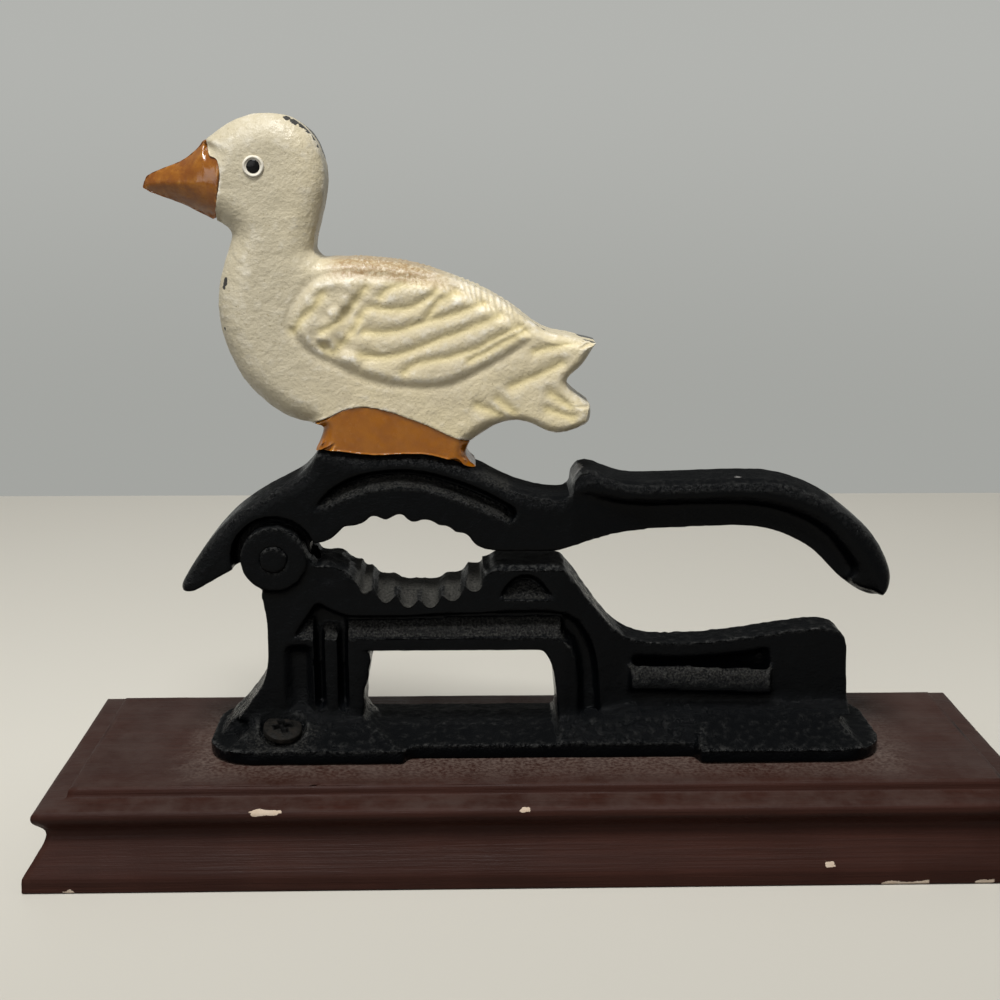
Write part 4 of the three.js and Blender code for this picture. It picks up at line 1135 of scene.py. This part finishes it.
def dress_casting(thing, material, chips):
    """Stores what the material reads and puts it on."""
    mesh = thing.data
    store_bends(mesh)
    write_attribute(mesh, "chipped", near_spots(vertices_of(mesh), chips))
    mesh.materials.clear()
    mesh.materials.append(material)
    shade_smooth(mesh)


def stand_relief(mesh):
    """Deepens the flutes' front ends, crowns the anvil and roughens the post and window."""
    places, normals = vertices_of(mesh), normals_of(mesh)
    across, deep, up = places.T
    out = np.abs(deep)
    flutes = np.zeros(len(places))
    for middle in FLUTES:
        flutes = np.maximum(flutes, 1 - ((across - middle * MM) / (FLUTE_HALF * MM)) ** 2)
    top = curve_at(across, JAW_TOP)
    near = ramp(up, top - 4.5 * MM, top - 1.2 * MM) * band(across, -43.6, -12.6, 0.6)
    sink = MM * flutes * near * (FLUTE_DEPTH * climb(-deep, -0.5, 8) - FLUTE_FILL)
    crown = band(across, -10.5, 5, 1.2) * climb(up, 63.5, 65) * fall(up, 67, 68)
    rise = ANVIL_CROWN * MM * crown * fall(out, 6.7, 8.1)
    lumps = region(across, up, POST_LUMPS, 1, 1) * (0.55 * MM * lattice_noise(places, 2.6 * MM, 71))
    ragged = region(across, up, WINDOW_EDGE, 0.3, 1) * ramp(normals[:, 0], 0.3, 0.7)
    ragged *= MM * (0.4 + 1.7 * climb(up, 33, 45) + 0.45 * lattice_noise(places, 1.9 * MM, 72))
    facing = ramp(np.abs(normals[:, 1]), 0.6, 0.9)
    recess = PANEL_RECESS * region(across, up, POST_PANEL, 0.5, 1.2) * facing
    moved = places.copy()
    moved[:, 2] += rise - sink
    moved[:, 0] += ragged
    moved += normals * (lumps - MM * recess)[:, None]
    move_vertices(mesh, moved)
    return flutes * near


def stand_dust(mesh, fluted):
    """Stores how much dust lies in the flutes and round the front screw, and the dust with painted
    sparkle on the ledges.
    """
    across, deep, up = vertices_of(mesh).T
    upward = normals_of(mesh)[:, 2]
    about_screw = fall(np.hypot(across + 60 * MM, deep + 12 * MM), 5, 13)
    about_screw *= fall(up, 28.5, 30) * ramp(upward, 0.3, 0.7)
    dusted = FLUTE_DUST * ramp(fluted, 0.15, 0.7) * ramp(upward, 0.1, 0.5)
    rear = region(across, up, JAW_REAR, 1, 1) * ramp(upward, 0.6, 0.9)
    dusted = np.maximum(dusted, REAR_DUST * rear * climb(deep, -4.5, -1))
    inside = ramp(upward, 0.12, 0.4) * fall(np.abs(deep), 7.5, 7.8)
    # Ledges: light grey of dust and painted sparkle
    for edges in LEDGE_SPARKLE_AND_DUST:
        dusted = np.maximum(dusted, SPARKLE_AND_DUST_SHARE * inside * region(across, up, edges, 0.8, 0.8))
    write_attribute(mesh, "dusted", np.clip(dusted + SCREW_DUST * about_screw, 0, 1))


def lever_relief(mesh):
    """Crowns the underside of the lever over the anvil."""
    places, normals = vertices_of(mesh), normals_of(mesh)
    across, deep, up = places.T
    under = ramp(-normals[:, 2], 0.3, 0.8) * band(across, -10, 5, 2) * fall(up, 71, 72)
    places[:, 2] -= LEVER_CROWN * MM * under * fall(np.abs(deep), 6.3, 8.1)
    move_vertices(mesh, places)


def screw_seats():
    """Middle and tilt of each screw's head, from the frame's boxes."""
    seats = []
    for node in SCREW_NODES:
        low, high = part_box(node)
        side = -1 if low.y + high.y < 0 else 1
        middle = Vector(((low.x + high.x) / 2, (low.y + high.y) / 2, high.z - SCREW_SINK * MM))
        seats.append((middle, -side * SCREW_TILT))
    return seats


def seat_screws(mesh):
    """Sinks a round seat under each screw's head into the foot."""
    places = vertices_of(mesh)
    for middle, tilt in screw_seats():
        offset = places - np.array(middle)
        reach = np.hypot(offset[:, 0], offset[:, 1] / math.cos(tilt))
        plane = middle.z + offset[:, 1] * math.tan(tilt) - SEAT_DEPTH * MM
        within = fall(reach, 4.8, 5.3) * climb(places[:, 2], 21.6, 22.6)
        within *= climb(np.abs(places[:, 1]), 8.2, 8.8)
        within *= 1 - ramp(places[:, 2], plane + 2.5 * MM, plane + 3.5 * MM)
        places[:, 2] += within * np.minimum(plane - places[:, 2], 0)
    move_vertices(mesh, places)


class PRESS_OT_stand(bpy.types.Operator):
    """Makes the black cast stand with its foot"""

    bl_idname = "press.make_stand"
    bl_label = "Stand"

    def execute(self, context):
        settings = context.scene.press_casting
        stand = skinned(
            "stand_casting", STAND_NODES, settings.swell, settings.stand_step, STAND_LEDGES, STAND_WEBS,
        )
        fluted = stand_relief(stand.data)
        joins = fall(vertices_of(stand.data)[:, 2], 32, 37)
        worn_round(stand.data, 8, 0.5 - 0.4 * fluted, 0.28 - 0.2 * fluted)
        worn_round(stand.data, 34, 0.6 * joins, 0.0)
        across, _, up = vertices_of(stand.data).T
        flare = fall(across, -66, -63) * fall(up, 44, 52)
        pillowed(stand.data, 60, flare * climb(up, 23, 25))
        seat_screws(stand.data)
        mesh = cast_surface(stand, settings.swell, settings.grain, 11, 4, 1.9 - 1.9 * fluted)
        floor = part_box("stand_foot")[0].z
        places = vertices_of(mesh)
        places[:, 2] = np.maximum(places[:, 2], floor)
        move_vertices(mesh, places)
        stand_dust(mesh, fluted)
        dress_casting(stand, enamel_material(context.scene.press_paint), ())
        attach(stand, "stand")
        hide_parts(*STAND_NODES)
        return {"FINISHED"}


class PRESS_OT_lever(bpy.types.Operator):
    """Makes the black cast lever with its handle"""

    bl_idname = "press.make_lever"
    bl_label = "Lever"

    def execute(self, context):
        settings = context.scene.press_casting
        lever = skinned(
            "lever_casting", LEVER_NODES, settings.swell, settings.lever_step, LEVER_LEDGES, LEVER_WEBS,
        )
        lever_relief(lever.data)
        worn_round(lever.data, 8, 0.5, 0.35)
        tip = climb(vertices_of(lever.data)[:, 0], 70, 75)
        worn_round(lever.data, 26, 0.6 * tip, 0.12 * tip)
        corner = tip * fall(vertices_of(lever.data)[:, 2], 63, 68)
        worn_round(lever.data, 24, 0.5 * corner, 0.45 * corner)
        pillowed(lever.data, 90, tip)
        mesh = cast_surface(lever, settings.swell, settings.grain, 23)
        across, deep, up = vertices_of(mesh).T
        # Crescent ledge made light grey: dust and painted sparkle
        ledge = ramp(normals_of(mesh)[:, 2], 0.15, 0.45) * fall(np.abs(deep), 7.5, 7.8)
        dusted = SPARKLE_AND_DUST_SHARE * ledge * region(across, up, LEVER_POCKET, 1, 0.6)
        write_attribute(mesh, "dusted", dusted)
        dress_casting(lever, enamel_material(context.scene.press_paint), LEVER_CHIPS)
        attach(lever, "lever")
        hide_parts(*LEVER_NODES)
        return {"FINISHED"}


def feather_relief(places, normals, settings):
    """Height of the wing, feathers and back hatching on both sides of the goose."""
    flat = places[:, [0, 2]]
    outline = rounded(WING_TOP, 1) + rounded(WING_BOTTOM, 1)
    sideways = ramp(np.abs(normals[:, 1]), 0.45, 0.85)
    edge = line_distance(flat, outline, closed=True)
    within = inside_outline(flat, outline)
    depth_in = np.where(within, edge, -edge)
    rise = settings.wing_rise * climb(depth_in, -0.8, 1.9)
    rise -= 0.2 * MM * np.exp(-((depth_in + 0.7 * MM) / (0.9 * MM)) ** 2)
    coverts = within * fall(places[:, 0], -45, -34)
    coverts *= climb(depth_in, 0.6, 3.2)
    rise += 0.7 * MM * coverts * lattice_noise(places, 2.5 * MM, 33)
    lines = np.zeros(len(places))
    wash = np.zeros(len(places))
    for line in FEATHERS + COVERTS + TAIL_FEATHERS:
        gap = line_distance(flat, rounded(line, 1))
        soft = 0.78 * np.exp(-(gap / (1.45 * MM)) ** 2) + 0.22 * np.exp(-(gap / (0.6 * MM)) ** 2)
        lines = np.maximum(lines, soft)
        wash = np.maximum(wash, np.exp(-(gap / (1.1 * MM)) ** 2))
    rise -= settings.feather_depth * lines
    return rise * sideways, wash * sideways


def round_rim(mesh, half, reach, flat_under=False):
    """Turns the bevel round a flat casting into a full round, and leaves its underside if told so."""
    places, normals = vertices_of(mesh), normals_of(mesh)
    across, deep, up = places.T
    met = (up > 143 * MM) & (up < 160 * MM) & (across > curve_at(up, BILL_BACK) - SEAM * MM)
    met &= across < curve_at(up, BILL_BACK) + SEAM * MM
    by_feet = np.abs(up - curve_at(across, FEET_TOP)) < SEAM * MM
    met |= by_feet & (across > -52 * MM) & (across < -16 * MM)
    if flat_under:
        met |= normals[:, 2] < -0.35
    wall = np.flatnonzero((np.abs(normals[:, 1]) < 0.35) & (np.abs(deep) < 0.35 * half) & ~met)
    tree = KDTree(len(wall))
    for index, row in enumerate(wall):
        tree.insert((places[row, 0], 0, places[row, 2]), index)
    tree.balance()
    gap = np.array([tree.find((x, 0, z))[2] for x, z in places[:, [0, 2]]])
    share = np.clip((gap + 0.9 * MM) / reach, 0, 1)
    limit = half * (1 - (1 - share) ** RIM_POWER) ** (1 / RIM_POWER)
    face = ramp(np.abs(normals[:, 1]), 0.3, 0.5)
    out = np.abs(places[:, 1])
    wanted = np.where(face > 0, out + face * (np.minimum(limit, half) - out), np.minimum(out, limit))
    places[:, 1] = np.sign(places[:, 1]) * wanted
    move_vertices(mesh, places)


def back_hatching(places):
    """Short file-like marks across the goose's back bevel, and how grimy it is there."""
    flat = places[:, [0, 2]]
    near = fall(line_distance(flat, BACK_LINE), 1.6, 3.4)
    ends = climb(places[:, 0], -47, -40) * fall(places[:, 0], -8, 0)
    slant = places[:, 0] + 0.25 * places[:, 2] + 0.4 * MM * lattice_noise(places, 3 * MM, 31)
    marks = np.sin(2 * math.pi * slant / (HATCH_PITCH * MM))
    broken = ramp(lattice_noise(places, 2.4 * MM, 32), -0.4, 0.4)
    grimy = near * climb(places[:, 0], -50, -43) * fall(places[:, 0], -30, -14)
    return HATCH_DEPTH * MM * marks * near * ends * broken, grimy


class PRESS_OT_goose(bpy.types.Operator):
    """Makes the cream goose with its wings and feathers"""

    bl_idname = "press.make_goose"
    bl_label = "Goose"

    def execute(self, context):
        settings = context.scene.press_casting
        goose = skinned("goose_casting", ("goose_body",), settings.swell, settings.goose_step)
        low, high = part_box("goose_body")
        across = vertices_of(goose.data)[:, 0]
        front = fall(across, -58, -44)
        tail = climb(across, -14, -4)
        reach = MM * (BODY_REACH + BREAST_GAIN * front - TAIL_LOSS * tail)
        half = np.full(len(across), (high.y - low.y) / 2 + settings.swell)
        round_rim(goose.data, half, reach)
        pillowed(goose.data, 20, 0.6 - 0.3 * tail)
        mesh = cast_surface(goose, settings.swell - 0.08 * MM, settings.grain * 1.3, 37, rounds=7)
        places, normals = vertices_of(mesh), normals_of(mesh)
        rise, wash = feather_relief(places, normals, settings)
        marks, grimy = back_hatching(places)
        places = places + normals * (rise + marks)[:, None]
        places = keep_inside(smoothed(places, edges_of(mesh), 1))
        move_vertices(mesh, places)
        low = fall(places[:, 2], 92, 106)
        write_attribute(mesh, "wash", np.clip(wash + 0.35 * low, 0, 1))
        write_attribute(mesh, "grime", grimy)
        # Cream made darker towards the head and breast
        write_attribute(mesh, "aged", fall(places[:, 0], -62, -38))
        dress_casting(goose, cream_material(context.scene.press_paint), GOOSE_CHIPS)
        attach(goose, "lever")
        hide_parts("goose_body", "goose_wing_front", "goose_wing_rear")
        return {"FINISHED"}


class PRESS_OT_bill_and_feet(bpy.types.Operator):
    """Makes the orange bill and feet"""

    bl_idname = "press.make_bill_and_feet"
    bl_label = "Bill and feet"

    def execute(self, context):
        settings = context.scene.press_casting
        paint = context.scene.press_paint
        looks = (
            ("bill_casting", "goose_bill", "bill_paint", paint.bill, (0.17, 0.048, 0.002), 41),
            ("feet_casting", "goose_feet", "feet_paint", paint.feet, (0.25, 0.076, 0.001), 43),
        )
        for name, node, slot, base, shade, seed in looks:
            piece = skinned(name, (node,), settings.swell, settings.paint_step)
            across = vertices_of(piece.data)[:, 0]
            if node == "goose_bill":
                half, reach = curve_at(across, BILL_HALF), BILL_REACH
            else:
                half, reach = np.full(len(across), FEET_HALF * MM), FEET_REACH
            round_rim(piece.data, half + settings.swell, reach * MM, node == "goose_feet")
            pillowed(piece.data, 50, 1)
            cast_surface(piece, settings.swell - 0.16 * MM, 0.8 * settings.grain, seed, rounds=9)
            places = keep_inside(vertices_of(piece.data))
            move_vertices(piece.data, places)
            material = orange_material(name.replace("_casting", " paint"), base, shade)
            dress_casting(piece, material, ())
            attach(piece, "lever")
            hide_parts(node)
        return {"FINISHED"}


def turned_mesh(name, profile, sides):
    """Closed mesh of a profile of radius and height turned about Z, from its foot to its top."""
    work = bmesh.new()
    rings = []
    for radius, height in profile:
        angles = [2 * math.pi * step / sides for step in range(sides if radius else 1)]
        ring = [(radius * math.cos(angle), radius * math.sin(angle), height) for angle in angles]
        rings.append([work.verts.new(place) for place in ring])
    for lower, upper in zip(rings[:-1], rings[1:]):
        for step in range(sides):
            after = (step + 1) % sides
            corners = [lower[step % len(lower)], lower[after % len(lower)]]
            corners += [upper[after % len(upper)], upper[step % len(upper)]]
            face = list(dict.fromkeys(corners))
            if len(face) > 2:
                work.faces.new(face)
    mesh = mesh_from(name, work)
    outward(mesh)
    return mesh


def arc_rows(radius, height, steps, rim):
    """Profile rows of a low dome from its rim to its top."""
    rows = []
    for step in range(steps + 1):
        turn = math.pi / 2 * step / steps
        reach = radius * math.cos(turn) if step < steps else 0
        rows.append((reach, rim + (height - rim) * math.sin(turn)))
    return rows


def screw_mesh(radius, length, head_radius, head_height):
    """Wood screw with a domed head and a cross recess, its head's underside at the origin."""
    rows = [(0, -length), (radius * 0.5, -length + 0.6 * MM), (radius, -length + 3 * MM)]
    rows += [(radius, -0.3 * MM), (head_radius - 0.2 * MM, 0), (head_radius, 0.2 * MM)]
    rows += arc_rows(head_radius, head_height, 9, 1.3 * MM)
    screw = link("screw", turned_mesh("screw", rows, 72))
    cutters = []
    for wide, deep in ((CROSS_LONG, CROSS_SHORT), (CROSS_SHORT, CROSS_LONG)):
        cutter = bmesh.new()
        bmesh.ops.create_cube(cutter, size=2)
        for vert in cutter.verts:
            draw_in = 0.62 if vert.co.z < 0 else 1.0
            top = head_height + 1 * MM if vert.co.z > 0 else head_height - 1.3 * MM
            flat = vert.co.x * (wide * MM) * draw_in, vert.co.y * (deep * MM) * draw_in
            vert.co = Vector((*flat, top))
        tool = link("drive", mesh_from("drive", cutter))
        cut = screw.modifiers.new("Drive", "BOOLEAN")
        cut.operation = "DIFFERENCE"
        cut.solver = "EXACT"
        cut.object = tool
        cutters.append(tool)
    add_skin(screw, SCREW_STEP * MM)
    mesh = bake_modifiers(screw)
    for tool in cutters:
        bpy.data.objects.remove(tool)
    places = smoothed(vertices_of(mesh), edges_of(mesh), 4)
    normals = normals_of(mesh)
    places = places + normals * (0.03 * MM * lattice_noise(places, 0.8 * MM, 51))[:, None]
    move_vertices(mesh, places)
    store_bends(mesh, 2)
    near, far = np.sort(np.abs(vertices_of(mesh)[:, :2]), axis=1).T
    cross = (near < 0.95 * MM) & (far < CROSS_LONG * MM) & (vertices_of(mesh)[:, 2] > 0.5 * MM)
    write_attribute(mesh, "hollow", cross.astype(float))
    shade_smooth(mesh)
    return screw


class PRESS_OT_screws(bpy.types.Operator):
    """Makes the two wood screws that hold the foot"""

    bl_idname = "press.make_screws"
    bl_label = "Screws"

    def execute(self, context):
        screws = screw_mesh(**SCREW_SIZES)
        screws.name = "base_screws"
        places, tilts = zip(*screw_seats())
        turns = [Vector((tilt, 0, spin)) for tilt, spin in zip(tilts, SCREW_SPINS)]
        material = steel_material(context.scene.press_paint)
        run_tree(screws, placed_pair_tree("Placed screws", material), {
            "First place": places[0], "First turn": turns[0],
            "Second place": places[1], "Second turn": turns[1],
        })
        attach(screws, "stand")
        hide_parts(*SCREW_NODES)
        return {"FINISHED"}


class PRESS_OT_eyes(bpy.types.Operator):
    """Makes the goose's two painted eyes"""

    bl_idname = "press.make_eyes"
    bl_label = "Eyes"

    def execute(self, context):
        low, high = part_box(EYE_NODES[0])
        radius = (high.x - low.x) / 2
        proud = high.y - low.y
        ring = [(0, -0.5 * MM), (radius, -0.5 * MM), (radius, 0)]
        ring += [(radius * wide, proud * up) for wide, up in EYE_RING]
        rows = rounded(ring, 1)
        rows[0], rows[-1] = (0, rows[0][1]), (0, rows[-1][1])
        eyes = link("painted_eyes", turned_mesh("painted_eyes", rows, 64))
        mesh = eyes.data
        places = vertices_of(mesh)
        reach = np.hypot(places[:, 0], places[:, 1])
        wobble = 0.05 * MM * lattice_noise(places, 0.9 * MM, 61)
        write_attribute(mesh, "pupil", 1 - ramp(reach + wobble, radius * 0.56, radius * 0.66))
        shade_smooth(mesh)
        middle = (low + high) / 2
        rear_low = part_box(EYE_NODES[1])[0]
        run_tree(eyes, placed_pair_tree("Placed eyes", eye_material(context.scene.press_paint)), {
            "First place": Vector((middle.x, high.y, middle.z)),
            "First turn": Vector((math.pi / 2, 0, 0)),
            "Second place": Vector((middle.x, rear_low.y, middle.z)),
            "Second turn": Vector((-math.pi / 2, 0, 0)),
        })
        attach(eyes, "lever")
        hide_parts(*EYE_NODES)
        return {"FINISHED"}


class PRESS_OT_pin(bpy.types.Operator):
    """Makes the hinge's riveted pin"""

    bl_idname = "press.make_pin"
    bl_label = "Hinge pin"

    def execute(self, context):
        low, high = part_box("pivot_pin")
        half = (high.y - low.y) / 2
        radius = (high.x - low.x) / 2 * PIN_GROWTH
        upper = [(radius * wide, half - inset * MM) for wide, inset in PIN_NOSE]
        profile = [(r, -h) for r, h in reversed(upper)] + upper
        pin = link("hinge_pin", turned_mesh("hinge_pin", profile, 64))
        mesh = pin.data
        mesh.transform(Matrix.Rotation(math.pi / 2, 4, "X"))
        mesh.transform(Matrix.Translation((low + high) / 2))
        dress_casting(pin, enamel_material(context.scene.press_paint), ())
        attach(pin, "stand")
        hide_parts("pivot_pin")
        return {"FINISHED"}


# Stage


def area_light(name, power, place, target, size):
    """Rectangular lamp turned towards a point."""
    data = bpy.data.lights.new(name, "AREA")
    data.shape = "RECTANGLE"
    data.size, data.size_y = size
    data.energy = power
    lamp = link(name, data)
    lamp.location = place
    lamp.rotation_euler = (Vector(target) - Vector(place)).to_track_quat("-Z", "Y").to_euler()


def photo_camera():
    """Camera at the photograph's place and angle."""
    data = bpy.data.cameras.new("Camera")
    data.sensor_width = SENSOR
    data.lens = SENSOR * PHOTO_FOCUS / PHOTO_SIDE
    data.clip_start, data.clip_end = 0.01, 20
    camera = link("Camera", data)
    yaw, pitch, roll = CAMERA_TURNS
    level = math.cos(pitch)
    ahead = Vector((math.sin(yaw) * level, math.cos(yaw) * level, -math.sin(pitch)))
    right = Vector((math.cos(yaw), -math.sin(yaw), 0))
    down = ahead.cross(right)
    turned_right = right * math.cos(roll) + down * math.sin(roll)
    turned_down = down * math.cos(roll) - right * math.sin(roll)
    turn = Matrix((turned_right, -turned_down, -ahead)).transposed().to_4x4()
    camera.matrix_world = Matrix.Translation(Vector(CAMERA_PLACE) * MM) @ turn
    bpy.context.scene.camera = camera


def background_rays(wiring):
    """One for camera, glossy and transmission rays, which see the background as it looks."""
    rays = wiring.node("ShaderNodeLightPath").outputs
    seen = wiring.math("MAXIMUM", rays["Is Camera Ray"], rays["Is Transmission Ray"])
    return wiring.math("MAXIMUM", seen, rays["Is Glossy Ray"])


def stage_world(settings):
    """Soft even light, with the plain wall where a camera ray leaves the floor."""
    world = bpy.data.worlds.new("Room")
    world.use_nodes = True
    world.node_tree.nodes.clear()
    wiring = Wiring(world.node_tree)
    seen = background_rays(wiring)
    height = wiring.along("Generated", "Z")
    strength = wiring.spread(height, 0.0, 0.8, settings.horizon, settings.ambient)
    light = wiring.node("ShaderNodeBackground", Color=(1.0, 0.99, 0.97, 1), Strength=strength)
    shade = wiring.blend(wiring.spread(height, -0.18, 0.08), settings.wall, settings.wall_top)
    wall = wiring.node("ShaderNodeBackground", Color=shade, Strength=1.0)
    mixed = wiring.node("ShaderNodeMixShader", Fac=seen)
    wiring.put(light.outputs[0], mixed.inputs[1])
    wiring.put(wall.outputs[0], mixed.inputs[2])
    wiring.node("ShaderNodeOutputWorld", Surface=mixed.outputs[0])
    bpy.context.scene.world = world


def stage_floor(settings):
    """Plain pale floor that ends behind the press, with painted shade darkening it towards the camera.
    """
    reach, end = FLOOR_REACH, settings.floor_end
    corners = [(-reach, -reach, 0), (reach, -reach, 0), (reach, end, 0), (-reach, end, 0)]
    mesh = bpy.data.meshes.new("floor")
    mesh.from_pydata(corners, [], [(0, 1, 2, 3)])
    floor = link("floor", mesh)
    material, wiring, shader = new_material("Pale floor")
    seen = background_rays(wiring)
    # Painted shade: the floor darkens towards the camera
    near = wiring.spread(wiring.along("Object", "Y"), -0.14, 0.06, 0.26, 0.0)
    pale = wiring.coats(settings.floor, (wiring.noise(0.25), (0.655, 0.63, 0.56)), (near, (0, 0, 0)))
    wiring.fill(shader, Base_Color=wiring.blend(seen, settings.floor_bounce, pale), Roughness=0.55)
    mesh.materials.append(material)


class PRESS_OT_stage(bpy.types.Operator):
    """Makes the floor, lamps and camera"""

    bl_idname = "press.make_stage"
    bl_label = "Stage"

    def execute(self, context):
        settings = context.scene.press_stage
        stage_floor(settings)
        stage_world(settings)
        for name, power, place, target, sides in LAMPS:
            area_light(name, getattr(settings, power), place, target, sides)
        photo_camera()
        context.scene.view_settings.view_transform = "Standard"
        return {"FINISHED"}


# Add-on


class PRESS_PT_panel(bpy.types.Panel):
    """Lists the steps that build the press"""

    bl_label = "Nutcracker press"
    bl_idname = "PRESS_PT_panel"
    bl_space_type = "VIEW_3D"
    bl_region_type = "UI"
    bl_category = "Nutcracker"

    def draw(self, context):
        for operator in OPERATORS:
            self.layout.operator(operator.bl_idname)
        for name in SETTINGS:
            group = getattr(context.scene, name)
            box = self.layout.box()
            for prop in group.bl_rna.properties:
                if prop.identifier not in {"rna_type", "name"}:
                    box.prop(group, prop.identifier)


SETTINGS = {
    "press_plinth": PlinthSettings, "press_casting": CastingSettings,
    "press_paint": PaintSettings, "press_stage": StageSettings,
}
OPERATORS = (
    PRESS_OT_plinth, PRESS_OT_stand, PRESS_OT_lever, PRESS_OT_goose, PRESS_OT_bill_and_feet,
    PRESS_OT_eyes, PRESS_OT_pin, PRESS_OT_screws, PRESS_OT_stage,
)


def register():
    for cls in (*SETTINGS.values(), *OPERATORS, PRESS_PT_panel):
        bpy.utils.register_class(cls)
    for name, cls in SETTINGS.items():
        setattr(bpy.types.Scene, name, PointerProperty(type=cls))


def unregister():
    for name in SETTINGS:
        delattr(bpy.types.Scene, name)
    for cls in (PRESS_PT_panel, *reversed(OPERATORS), *reversed(tuple(SETTINGS.values()))):
        bpy.utils.unregister_class(cls)


def main():
    """Builds the press."""
    register()
    for operator in OPERATORS:
        getattr(bpy.ops.press, operator.bl_idname.removeprefix("press."))()


if __name__ == "__main__":
    main()
